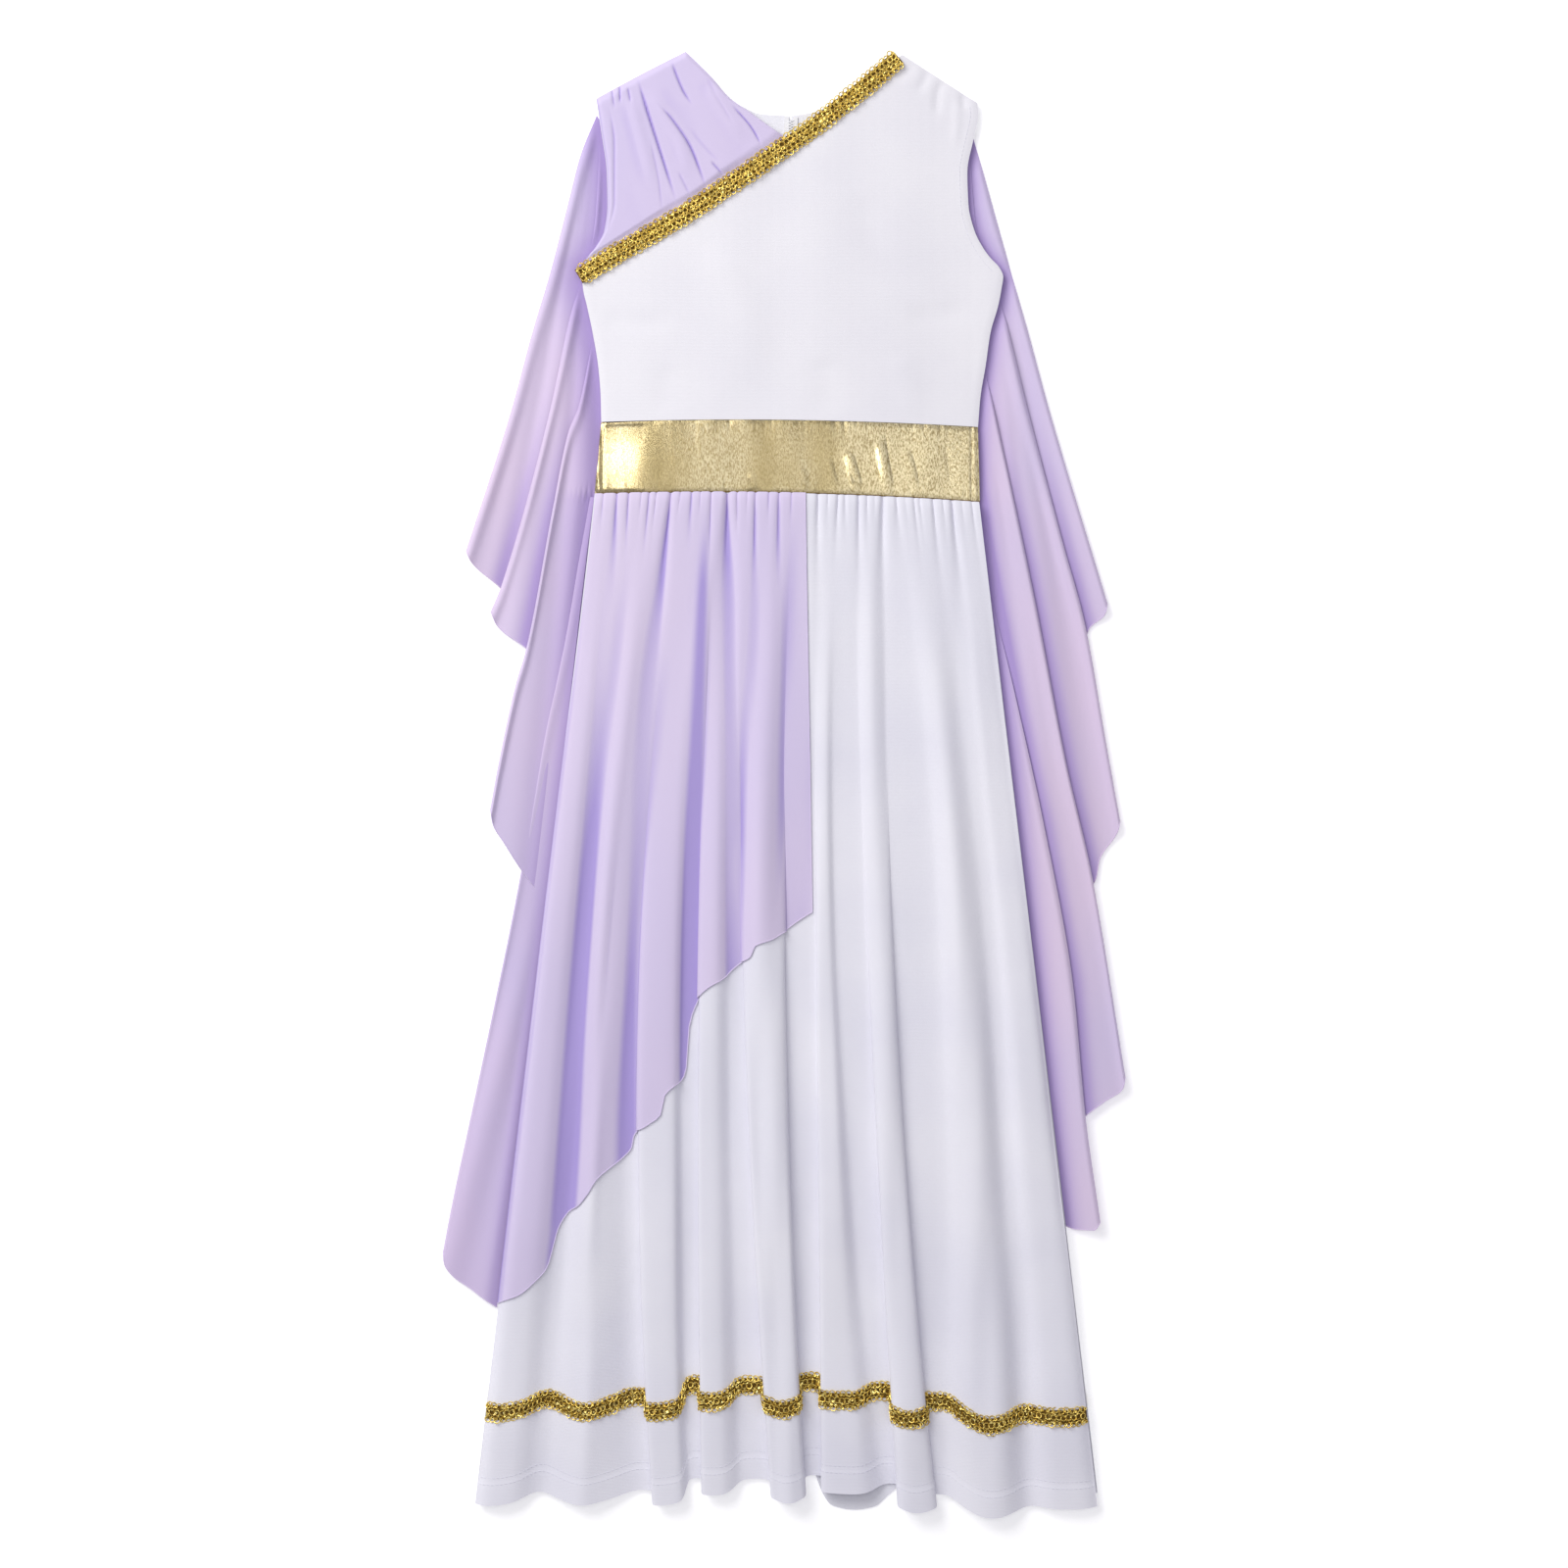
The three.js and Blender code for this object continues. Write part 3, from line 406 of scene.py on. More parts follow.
def smoothed(values, spread):
    """Values with their corners rounded off, along the last axis of an array."""
    reach = int(3 * spread)
    offsets = np.arange(-reach, reach + 1)
    weights = np.exp(-0.5 * (offsets / spread) ** 2)
    weights /= weights.sum()
    ends = [(0, 0)] * (values.ndim - 1) + [(reach, reach)]
    padded = np.pad(values, ends, mode="edge")
    count = values.shape[-1]
    return sum(weight * padded[..., number:number + count] for number, weight in enumerate(weights))


# Meshes

def normals_of(grid):
    """Unit normals of a grid of points."""
    across = np.gradient(grid, axis=1)
    along = np.gradient(grid, axis=0)
    normals = np.cross(across, along)
    length = np.linalg.norm(normals, axis=2, keepdims=True)
    normals = normals / np.maximum(length, 1e-9)
    return normals if normals[:, :, 2].sum() > 0 else -normals


def wall(lower, upper):
    """Corners and faces of a closed wall between two grids of the same layout."""
    rows, columns = lower.shape[:2]
    numbers = np.arange(rows * columns).reshape(rows, columns)
    shift = rows * columns
    a, b = numbers[:-1, :-1].ravel(), numbers[:-1, 1:].ravel()
    c, d = numbers[1:, 1:].ravel(), numbers[1:, :-1].ravel()
    middle = (rows // 2, columns // 2)
    across = lower[middle[0], middle[1] + 1] - lower[middle]
    along = lower[middle[0] + 1, middle[1]] - lower[middle]
    outward = upper[middle] - lower[middle]
    turned = np.dot(np.cross(across, along), outward) < 0
    if turned:
        a, b, c, d = a, d, c, b
    faces = [np.stack([a, d, c, b], 1), np.stack([a, b, c, d], 1) + shift]
    rim = np.concatenate([
        numbers[0, :-1], numbers[:-1, -1], numbers[-1, :0:-1], numbers[:0:-1, 0],
    ])
    following = np.roll(rim, -1)
    if turned:
        rim, following = following, rim
    faces.append(np.stack([rim, following, following + shift, rim + shift], 1))
    corners = np.concatenate([lower.reshape(-1, 3), upper.reshape(-1, 3)])
    return corners, np.concatenate(faces)


def tube(path, radius, sides):
    """Corners and faces of a round tube along a line of points, closed at its ends."""
    forward = headings(path)
    side = np.cross(forward, [0, 0, 1.0])
    side /= np.maximum(np.linalg.norm(side, axis=1, keepdims=True), 1e-9)
    top = np.cross(side, forward)
    turns = np.linspace(0, 2 * math.pi, sides, endpoint=False)
    ring = np.cos(turns)[None, :, None] * side[:, None] + np.sin(turns)[None, :, None] * top[:, None]
    corners = (path[:, None] + radius * ring).reshape(-1, 3)
    rows = np.arange(len(path) - 1)[:, None] * sides
    here = np.arange(sides)[None]
    after = (here + 1) % sides
    faces = np.stack([rows + here, rows + after, rows + after + sides, rows + here + sides], 2)
    faces = faces.reshape(-1, 4)[:, ::-1].tolist()
    last = (len(path) - 1) * sides
    faces.append(list(range(sides)))
    faces.append([last + number for number in reversed(range(sides))])
    return corners, faces


def rings(centres, radii, tilts, cord, segments, sides):
    """Corners and faces of many small rings of cord, each tilted in its own way."""
    turns = np.linspace(0, 2 * math.pi, segments, endpoint=False)[None, :, None]
    sections = np.linspace(0, 2 * math.pi, sides, endpoint=False)[None, None]
    reach = radii[:, None, None] + cord * np.cos(sections)
    x = reach * np.cos(turns)
    y = reach * np.sin(turns)
    z = cord * np.sin(sections) + x * tilts[:, 0, None, None] + y * tilts[:, 1, None, None]
    corners = np.stack([x, y, z], -1) + centres[:, None, None]
    numbers = np.arange(corners[..., 0].size).reshape(corners.shape[:3])
    after = np.roll(numbers, -1, axis=1)
    faces = np.stack([numbers, after, np.roll(after, -1, axis=2), np.roll(numbers, -1, axis=2)], -1)
    return corners.reshape(-1, 3), faces.reshape(-1, 4)


def plate(centre, radius, tilt, turn, thickness, sides=6):
    """Corners and faces of a small flat disc that stands a little askew."""
    turns = np.linspace(0, 2 * math.pi, sides, endpoint=False) + turn
    flat = np.stack([np.cos(turns), np.sin(turns), np.zeros(sides)], 1) * radius
    flat[:, 2] = flat[:, 0] * tilt[0] + flat[:, 1] * tilt[1]
    lower = flat + centre
    corners = np.concatenate([lower, lower + [0, 0, thickness]])
    faces = [list(reversed(range(sides))), [sides + number for number in range(sides)]]
    for number in range(sides):
        following = (number + 1) % sides
        faces.append([number, following, following + sides, number + sides])
    return corners, faces


def add_piece(name, chunks, finishes, sharp):
    """One object made of chunks of corners, faces, finish number and maybe a tone, in millimetres."""
    corners = []
    faces = []
    slots = []
    tones = []
    count = 0
    for chunk_corners, chunk_faces, finish, *tone in chunks:
        corners.append(chunk_corners)
        tones.append(tone[0] if tone else np.zeros(len(chunk_corners)))
        if isinstance(chunk_faces, np.ndarray):
            faces.extend((chunk_faces + count).tolist())
        else:
            faces.extend([number + count for number in face] for face in chunk_faces)
        slots.extend([finish] * len(chunk_faces))
        count += len(chunk_corners)
    mesh = bpy.data.meshes.new(name)
    mesh.from_pydata(((np.concatenate(corners) + ORIGIN) * MM).tolist(), [], faces)
    for finish in finishes:
        mesh.materials.append(finish)
    mesh.polygons.foreach_set("material_index", slots)
    # The tone attribute carries painted shade for the chiffon finishes, and the smooth part of the foil
    # for the lame
    mesh.attributes.new("tone", "FLOAT", "POINT").data.foreach_set("value", np.concatenate(tones))
    mesh.shade_smooth()
    mesh.set_sharp_from_angle(angle=math.radians(sharp))
    mesh.update()
    piece = bpy.data.objects.new(name, mesh)
    bpy.context.scene.collection.objects.link(piece)
    return piece


def cloth(lower, thickness, tone=0):
    """A chunk of cloth that rises by its thickness along its own normals."""
    corners, faces = wall(lower, lower + normals_of(lower) * thickness)
    both_sides = np.tile(np.broadcast_to(tone, lower.shape[:2]).ravel(), 2)
    return corners, faces, 0, both_sides


def make_piece(name, chunks, finishes, node=None, sharp=40):
    """A piece that rides on the one body, and stands for a CAD node where one is named."""
    piece = add_piece(name, chunks, finishes, sharp)
    if node:
        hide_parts(node)
    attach(piece, "root")
    return piece


# Finishes

def new_finish(name, **constants):
    material = bpy.data.materials.new(name)
    material.use_nodes = True
    shader = material.node_tree.nodes["Principled BSDF"]
    for socket, value in constants.items():
        shader.inputs[socket.replace("_", " ")].default_value = value
    return material, material.node_tree, shader


def add_node(tree, kind, inputs, **settings):
    made = tree.nodes.new(kind)
    for key, value in settings.items():
        setattr(made, key, value)
    for socket, value in inputs.items():
        if isinstance(value, bpy.types.NodeSocket):
            tree.links.new(value, made.inputs[socket])
        else:
            made.inputs[socket].default_value = value
    return made


def stretched(tree, scale):
    """The surface's own coordinates in metres, times a scale along each axis."""
    own = add_node(tree, "ShaderNodeTexCoord", {}).outputs["Object"]
    return add_node(tree, "ShaderNodeMapping", {"Vector": own, "Scale": scale}).outputs["Vector"]


def threads(tree, pitch, direction, distortion=1.5):
    """Bands at a pitch in metres, from 0 to 1, as threads or knitted ribs make them."""
    own = stretched(tree, (1, 1, 1))
    inputs = {"Vector": own, "Scale": math.pi / (10 * pitch), "Distortion": distortion, "Detail": 1.0}
    return add_node(tree, "ShaderNodeTexWave", inputs, bands_direction=direction).outputs["Fac"]


def grain(tree, scale, detail=3.0, stretch=(1, 1, 1)):
    own = stretched(tree, stretch)
    inputs = {"Vector": own, "Scale": scale, "Detail": detail}
    return add_node(tree, "ShaderNodeTexNoise", inputs).outputs["Fac"]


def blended(tree, amount, low, high, first, second):
    """A colour between two, by where the amount lies from low to high."""
    part = add_node(tree, "ShaderNodeMapRange", {"Value": amount, "From Min": low, "From Max": high})
    mix = add_node(tree, "ShaderNodeMix", {"Factor": part.outputs["Result"]}, data_type="RGBA")
    for socket, value in ((mix.inputs[6], first), (mix.inputs[7], second)):
        if isinstance(value, bpy.types.NodeSocket):
            tree.links.new(value, socket)
        else:
            socket.default_value = (*value, 1)
    return mix.outputs[2]


def calculated(tree, operation, first, second):
    return add_node(tree, "ShaderNodeMath", {0: first, 1: second}, operation=operation).outputs["Value"]


def bumped(tree, shader, height, distance, strength):
    inputs = {"Height": height, "Distance": distance, "Strength": strength}
    bump = add_node(tree, "ShaderNodeBump", inputs)
    tree.links.new(bump.outputs["Normal"], shader.inputs["Normal"])


def knit_finish(name, bright, shaded):
    """Fine stretch knit: upright ribs, a matt face and a faint uneven tone."""
    material, tree, shader = new_finish(
        name, Roughness=0.82, Sheen_Weight=0.25, Sheen_Roughness=0.45, Specular_IOR_Level=0.3,
    )
    tone = blended(tree, grain(tree, 9, 3), 0.35, 0.65, shaded, bright)
    ribs = threads(tree, 0.00085, "X", 2.0)
    colour = blended(tree, ribs, -1.5, 1.0, shaded, tone)
    tree.links.new(colour, shader.inputs["Base Color"])
    loops = threads(tree, 0.0011, "Y", 2.5)
    height = calculated(tree, "ADD", calculated(tree, "MULTIPLY", ribs, loops), grain(tree, 1800, 2))
    bumped(tree, shader, height, 0.00022, 0.45)
    return material


def chiffon_finish(name, bright, shaded, painted_shade_colour):
    """Lilac chiffon: a fine plain weave, with painted shade: its colour deepens to a violet shade
    colour where the tone attribute marks troughs and folds in shade.
    """
    material, tree, shader = new_finish(
        name, Roughness=0.7, Sheen_Weight=0.35, Sheen_Roughness=0.35, Specular_IOR_Level=0.35,
    )
    drift = blended(tree, grain(tree, 7, 3, (1, 0.4, 1)), 0.35, 0.65, shaded, bright)
    across = threads(tree, 0.0006, "X", 1.0)
    down = threads(tree, 0.00065, "Y", 1.0)
    weave = calculated(tree, "ADD", across, down)
    woven = blended(tree, weave, -2.5, 2.0, shaded, drift)
    # Painted shade: the tone attribute blends the weave towards a deeper violet where shade falls, in
    # troughs and beside edges
    tone = add_node(tree, "ShaderNodeAttribute", {}, attribute_name="tone").outputs["Fac"]
    colour = blended(tree, tone, 0.0, 1.0, woven, painted_shade_colour)
    tree.links.new(colour, shader.inputs["Base Color"])
    height = calculated(tree, "ADD", weave, grain(tree, 2200, 2))
    bumped(tree, shader, height, 0.00016, 0.4)
    return material


def lame_finish():
    """Gold foil on knit: a metal face, crumpled by a fine grain and upright creases, and paler towards
    its right end as a painted reflection.
    """
    material, tree, shader = new_finish("gold_lame", Metallic=0.7, Roughness=0.25)
    patches = grain(tree, 22, 4, (1, 0.5, 1))
    pale = blended(tree, patches, 0.38, 0.62, (0.39, 0.31, 0.14), (0.56, 0.485, 0.30))
    # Painted reflection: the foil's colour grows paler towards the band's right end, where the band
    # turns to the light
    own = stretched(tree, (1, 1, 1))
    across = add_node(tree, "ShaderNodeSeparateXYZ", {"Vector": own}).outputs["X"]
    pale = blended(tree, across, 0.02, 0.09, pale, (0.74, 0.645, 0.40))
    crumple = grain(tree, 700, 4, (1.5, 0.6, 1))
    colour = blended(tree, crumple, 0.36, 0.6, (0.33, 0.255, 0.115), pale)
    tree.links.new(colour, shader.inputs["Base Color"])
    gloss = add_node(tree, "ShaderNodeMapRange", {
        "Value": grain(tree, 900, 3), "From Min": 0.3, "From Max": 0.7, "To Min": 0.11, "To Max": 0.23,
    })
    tree.links.new(gloss.outputs["Result"], shader.inputs["Roughness"])
    smooth = add_node(tree, "ShaderNodeAttribute", {}, attribute_name="tone").outputs["Fac"]
    rough_part = calculated(tree, "SUBTRACT", 1.0, smooth)
    height = calculated(tree, "ADD", crumple, grain(tree, 2600, 2))
    bumped(tree, shader, calculated(tree, "MULTIPLY", height, rough_part), 0.0005, 0.3)
    return material


def metal_thread_finish(name, bright, shaded, roughness, speckle=1500):
    """Metal-wrapped thread: its colour speckles at random between a bright and a shaded gold, as
    painted glints and painted shade, with a fine twist in its bump.
    """
    material, tree, shader = new_finish(name, Metallic=0.8, Roughness=roughness)
    colour = blended(tree, grain(tree, speckle, 3), 0.35, 0.62, shaded, bright)
    tree.links.new(colour, shader.inputs["Base Color"])
    bumped(tree, shader, threads(tree, 0.0005, "DIAGONAL", 4.0), 0.0002, 0.5)
    return material


WHITE = knit_finish("white_knit", (0.845, 0.835, 0.87), (0.795, 0.785, 0.835))
# Painted shade: the skirt's copy of the white knit is a little darker and bluer than the bodice's, as
# the skirt lies in less and bluer light
SKIRT_WHITE_SHADED = knit_finish("white_skirt_knit_shaded", (0.83, 0.825, 0.88), (0.765, 0.76, 0.84))
INSIDE = knit_finish("white_knit_inside", (0.84, 0.84, 0.885), (0.78, 0.78, 0.84))
# The third colour of each lilac chiffon is painted shade, laid on by the tone attribute
LILAC = chiffon_finish("lilac_chiffon", (0.72, 0.63, 0.81), (0.66, 0.585, 0.80), (0.41, 0.33, 0.68))
DRAPE_LILAC = chiffon_finish(
    "lilac_drape", (0.725, 0.59, 0.755), (0.635, 0.555, 0.775), (0.42, 0.31, 0.64))
LAME = lame_finish()
# The speckle of the gold threads and sequins is painted glints and painted shade
GOLD_THREAD = metal_thread_finish("gold_thread", (1.0, 0.81, 0.24), (0.70, 0.45, 0.06), 0.3)
HEM_THREAD = metal_thread_finish("hem_gold_thread", (1.0, 0.83, 0.25), (0.62, 0.36, 0.03), 0.3, 620)
HEM_SEQUIN = metal_thread_finish("hem_gold_sequin", (1.0, 0.88, 0.36), (0.50, 0.31, 0.04), 0.2, 620)
GOLD_SEQUIN = metal_thread_finish("gold_sequin", (1.0, 0.88, 0.36), (0.92, 0.68, 0.14), 0.16)
# Near-black gold as painted shade: the braid backing that shows through the rings' holes, and the cord
# in the waistband's lower seam
PAINTED_SHADE_GOLD = metal_thread_finish("gold_backing_painted_shade", (0.26, 0.15, 0.02), (0.06, 0.03, 0.006), 0.7)
THREAD = knit_finish("sewing_thread", (0.80, 0.80, 0.86), (0.66, 0.66, 0.74))
ZIP_CLOTH = knit_finish("zip_tape", (0.86, 0.86, 0.88), (0.78, 0.78, 0.82))


# Skirt

FINE_STEPS = 20         # steps of the smoothed fold tables for each of their columns
ROUNDING = 0.32         # how far the smoothing reaches, in columns
TUCKED_CREST = 0.35     # how far in from its foot the crest of a tucked fold starts
CREST_LOW = 0.86        # height of a crest's two ends against its middle


def flank(foot, crest, trough, fold, tuck):
    """A ridge's foot and the middle of its flank: hem place, rise and hem height."""
    if tuck:
        inward = math.copysign(tuck, crest - foot)
        under = (foot + inward, 0, trough)
        return [under, (foot, 0.5, lerp(trough, fold.hem_crest, 0.7))]
    return [(foot, 0, trough), (lerp(foot, crest, 0.5), 0.5, lerp(trough, fold.hem_crest, 0.5))]


def rounded_in_place(x, values, spread):
    """Values with their corners rounded off over a spread of millimetres along the hem."""
    even = np.arange(x.min(), x.max(), 1.0)
    order = np.argsort(x, kind="stable")
    return np.interp(x, even, smoothed(np.interp(even, x[order], values[order]), spread))


def skirt_tables():
    """Waist, knee and hem place, hem height, and rise at the hem and higher up, of each column."""
    columns = []
    for number, fold in enumerate(FOLDS):
        left, right = fold.hem
        before = FOLDS[number - 1].hem_trough if number else LEFT_CORNER_HEM
        last = fold.gathers * 2 - 5
        shape = flank(left, fold.crest[0], before, fold, fold.tuck[0])
        for step in range(last + 1):
            part = step / last
            arch = math.sin(math.pi * part)
            near = before if part < 0.5 else fold.hem_trough
            start = lerp(left, fold.crest[0], TUCKED_CREST) if fold.tuck[0] else fold.crest[0]
            end = lerp(right, fold.crest[1], TUCKED_CREST) if fold.tuck[1] else fold.crest[1]
            low = lerp(fold.hem_crest, near, 0.2 * (1 - arch))
            shape.append((lerp(start, end, part), CREST_LOW + (1 - CREST_LOW) * arch, low))
        shape.extend(reversed(flank(right, fold.crest[1], fold.hem_trough, fold, fold.tuck[1])))
        for place_number, (hem, lift, low) in enumerate(shape):
            across = (hem - left) / (right - left)
            columns.append((
                lerp(*fold.waist, place_number / (len(shape) - 1)),
                lerp(*fold.knee, across),
                hem, low, lift * fold.height,
                fold.height * math.sin(math.pi * min(max(across, 0), 1)),
            ))
    coarse = np.array(columns)
    numbers = np.arange(len(coarse))
    fine = np.linspace(0, numbers[-1], numbers[-1] * FINE_STEPS + 1)
    spread = ROUNDING * FINE_STEPS
    lines = [smoothed(np.interp(fine, numbers, coarse[:, key]), spread) for key in range(3)]
    low, steep, soft = (
        smoothed(through(numbers, coarse[:, key], fine), times * spread)
        for key, times in ((3, 1.2), (4, 1.0), (5, 2.8))
    )
    counts = [2 * fold.gathers for fold in FOLDS]
    open_folds = np.repeat([float(not any(fold.tuck)) for fold in FOLDS], counts)
    rounded = smoothed(open_folds[np.round(fine).astype(int)], 1.5 * spread)
    low = lerp(low, rounded_in_place(lines[2], low, 6), rounded)
    steep = lerp(steep, rounded_in_place(lines[2], steep, 4), rounded)
    return fine, np.array(lines + [low, steep, soft])


SKIRT_COLUMNS, SKIRT = skirt_tables()
SKIRT_LAST = int(SKIRT_COLUMNS[-1])
OVERLAY_END = sum(2 * fold.gathers for fold in FOLDS[:OVERLAY_LAST_FOLD])
DEEP_PLEAT = sum(2 * fold.gathers for fold in FOLDS[:3]) - 0.5
SKIRT_LENGTH = 800
HEM_FOLD = 18           # depth of the turned-up hem
HEM_THICKER = 0.45      # how much thicker the knit is there
HEM_EDGE = 0.002        # part of the length over which that starts
GATHER_LEVEL = 3.2      # how far the cloth bulges between gathers
GATHER_SPREAD = 28      # distance below the seam at which a gather is twice as wide
SKIRT_GATHERS = 1.3     # depth of the gathers against the table, in the knit
OVERLAY_GATHERS = 1.5   # and in the overlay on it
SEAM_DIP = 1.7          # how far the cloth dips at the waist seam
SEAM_DIP_LENGTH = 3.5
OVERLAY_GAP = 0.8       # air between the skirt and the overlay
OVERLAY_ROLL = 1.6      # how far the overlay rolls down at the side of the skirt
OVERLAY_ROLL_REACH = 3


def bend(waist, knee, hem, down):
    """A smooth path through waist, knee and hem."""
    return (
        waist * (1 - down) * (1 - down / KNEE)
        + knee * down * (1 - down) / (KNEE * (1 - KNEE))
        + hem * down * (down - KNEE) / (1 - KNEE)
    )


def skirt_surface(column, down, gather_depth=1.0):
    """Points under the skirt front, by column of the fold tables and part of the way down."""
    column, down = np.broadcast_arrays(np.asarray(column, float), np.asarray(down, float))
    waist, knee, hem, low, steep, soft = (np.interp(column, SKIRT_COLUMNS, values) for values in SKIRT)
    x = bend(waist, knee, hem, down)
    y = lerp(seam_at(WAIST_BOTTOM_SEAM, x) - SEAM, low, down)
    rise = lerp(soft, steep, ease((down - 0.22) / 0.5))
    growth = 0.72 * ease(down / 0.42) + 0.28 * down
    bulge = GATHER_LEVEL * (1 - down) ** 8
    from_seam = down * SKIRT_LENGTH
    z = back_level(y) + KNIT + SLACK + crown(x) * (1 - down) ** 4 + rise * growth
    z = z + bulge - SEAM_DIP * np.exp(-from_seam / SEAM_DIP_LENGTH)
    for gather in GATHERS:
        across = bell(waist - gather.x, gather.half_width * (1 + from_seam / GATHER_SPREAD))
        fade = np.exp(-((1.5 * from_seam / gather.length) ** 1.2)) * ease(from_seam / 6 + 0.35)
        z = z - gather_depth * gather.depth * fade * across
    swell = rippled(waist * 2.2, y, 11, 60, 0.9) * ease(down / 0.2)
    return np.stack([x, y, z + swell], -1)


def skirt_rows(count):
    even = np.linspace(0, 1, count)
    return 0.45 * even + 0.55 * even ** 2


def trough_shade(grid, spread, depth):
    """Painted shade: from 0 on ridges to 1 where a cloth lies a depth below its surroundings, along its
    columns.
    """
    return np.clip((smoothed(grid[..., 2], spread) - grid[..., 2]) / depth, 0, 1)


def lifted(grid, amount):
    return grid + [0, 0, amount]


def make_skirt_front():
    columns = np.linspace(0, SKIRT_LAST, SKIRT_LAST * 5 + 1)
    hem_line = 1 - HEM_FOLD / SKIRT_LENGTH
    rows = np.unique(np.concatenate([
        skirt_rows(104), [hem_line - HEM_EDGE, hem_line, hem_line + HEM_EDGE, 0.9975],
    ]))
    grid = lifted(skirt_surface(columns[None], rows[:, None], SKIRT_GATHERS), KNIT - KNIT_CLOTH)
    folded = ease((rows - hem_line) / 0.003 + 0.5)[:, None, None]
    upper = grid + normals_of(grid) * (KNIT_CLOTH * (1 + HEM_THICKER * folded))
    chunks = [(*wall(grid, upper), 0)]
    return make_piece("white_skirt_front", chunks, [SKIRT_WHITE_SHADED], "skirt_front")


def overlay_level(column, down):
    """The underside of the overlay: the skirt's own form, moved out."""
    grid = skirt_surface(column, down, OVERLAY_GATHERS)
    from_side = np.linalg.norm(grid - grid[:, :1], axis=2, keepdims=True)
    roll = OVERLAY_ROLL * np.exp(-from_side / OVERLAY_ROLL_REACH)
    return grid + normals_of(grid) * (KNIT + OVERLAY_GAP) - roll * np.array([0, 0, 1.0])


def overlay_end(column):
    """How far down the skirt the overlay's slanting hem lies, in each column."""
    hem_x, hem_y = np.transpose(OVERLAY_HEM)
    above = np.zeros_like(column)
    below = np.ones_like(column)
    for _ in range(26):
        middle = (above + below) / 2
        point = skirt_surface(column, middle)
        short = point[:, 1] > through(hem_x, hem_y, point[:, 0])
        above = np.where(short, middle, above)
        below = np.where(short, below, middle)
    return above


def make_skirt_overlay():
    columns = np.linspace(0, OVERLAY_END, OVERLAY_END * 6 + 1)
    ends = overlay_end(columns)
    rows = skirt_rows(100)
    down = rows[:, None] * ends[None]
    grid = overlay_level(np.broadcast_to(columns[None], down.shape), down)
    # Painted shade for the chiffon: deeper tone in wide and narrow troughs, in the gathers and down the
    # deep pleat
    wide_fold_shade = (0.32 + 0.42 * down + 0.5 * bell(down, 0.22)) * trough_shade(grid, 12, 2.8)
    pleat_shade = 1.1 * bell(columns[None] - DEEP_PLEAT, 0.7) * ease((down - 0.01) / 0.1)
    tone = wide_fold_shade + 1.5 * trough_shade(grid, 4, 1.1) + pleat_shade
    chunks = [cloth(grid, CHIFFON_CLOTH, np.clip(tone, 0, 1))]
    for edge, radius in ((grid[-1], 0.55), (grid[:, -1], 0.45)):
        chunks.append((*tube(lifted(edge, CHIFFON_CLOTH / 2), radius, 6), 0))
    return make_piece("lilac_skirt_overlay", chunks, [LILAC], "skirt_overlay")


def back_hem(count):
    x, y = np.transpose(BACK_HEM)
    places = np.linspace(x[0], x[-1], count)
    return places, through(x, y, places)


def skirt_back_surface(hem_x, hem_y, down):
    left, right = SKIRT[:, 0], SKIRT[:, -1]
    part = (hem_x - left[2]) / (right[2] - left[2])
    x = lerp(bend(*left[:3], down), bend(*right[:3], down), part)
    y = lerp(seam_at(WAIST_BOTTOM_SEAM, x) - SEAM, hem_y, down)
    return np.stack([x, y, back_level(y) + np.zeros_like(x)], -1)


def make_skirt_back():
    hem_x, hem_y = back_hem(170)
    rows = skirt_rows(40)
    grid = skirt_back_surface(hem_x[None], hem_y[None], rows[:, None])
    chunks = [cloth(lifted(grid, BACK_LIFT), KNIT_CLOTH)]
    return make_piece("white_skirt_back", chunks, [INSIDE], "skirt_back")


# Bodice, waistband and chest overlay

def bodice_level(x, y):
    """The underside of the bodice front, with its soft creases."""
    level = FRONT_LEVEL + crown(x)
    return level - creased(x, y, BODICE_CREASES) + rippled(x, y, 5, 90, 0.35) * ease((y - 287) / 30)


def rolled(grid, depth, reach):
    """How far a cloth's two sides roll down towards the layer under it."""
    flat = grid[..., :2]
    from_left = np.linalg.norm(flat - flat[:, :1], axis=2)
    from_right = np.linalg.norm(flat - flat[:, -1:], axis=2)
    return depth * (bell(from_left, reach) + bell(from_right, reach))


def seam_line(seam, start, end, count, gap):
    x = np.linspace(start, end, count)
    return np.stack([x, seam_at(seam, x) + gap], 1)


def front_grid():
    shoulder, neck, rows = 26, 100, 120
    top = joined_lines(
        line([LEFT_SIDE[-1], FRONT_NECK[0]], shoulder), line(FRONT_NECK, neck),
        line([FRONT_NECK[-1], RIGHT_SIDE[-1]], shoulder),
    )
    bottom = seam_line(WAIST_TOP_SEAM, LEFT_SIDE[0][0], RIGHT_SIDE[0][0], len(top), SEAM)
    left = line([tuple(bottom[0])] + LEFT_SIDE[1:], rows)
    right = line([tuple(bottom[-1])] + RIGHT_SIDE[1:], rows)
    return patch(bottom, top, left, right)


def make_bodice_front():
    flat = front_grid()
    x, y = flat[..., 0], flat[..., 1]
    z = bodice_level(x, y) + KNIT - KNIT_CLOTH - rolled(flat, 0.75, 2.4)
    chunks = [cloth(np.dstack([x, y, z]), KNIT_CLOTH)]
    return make_piece("white_bodice_front", chunks, [WHITE], "bodice_front")


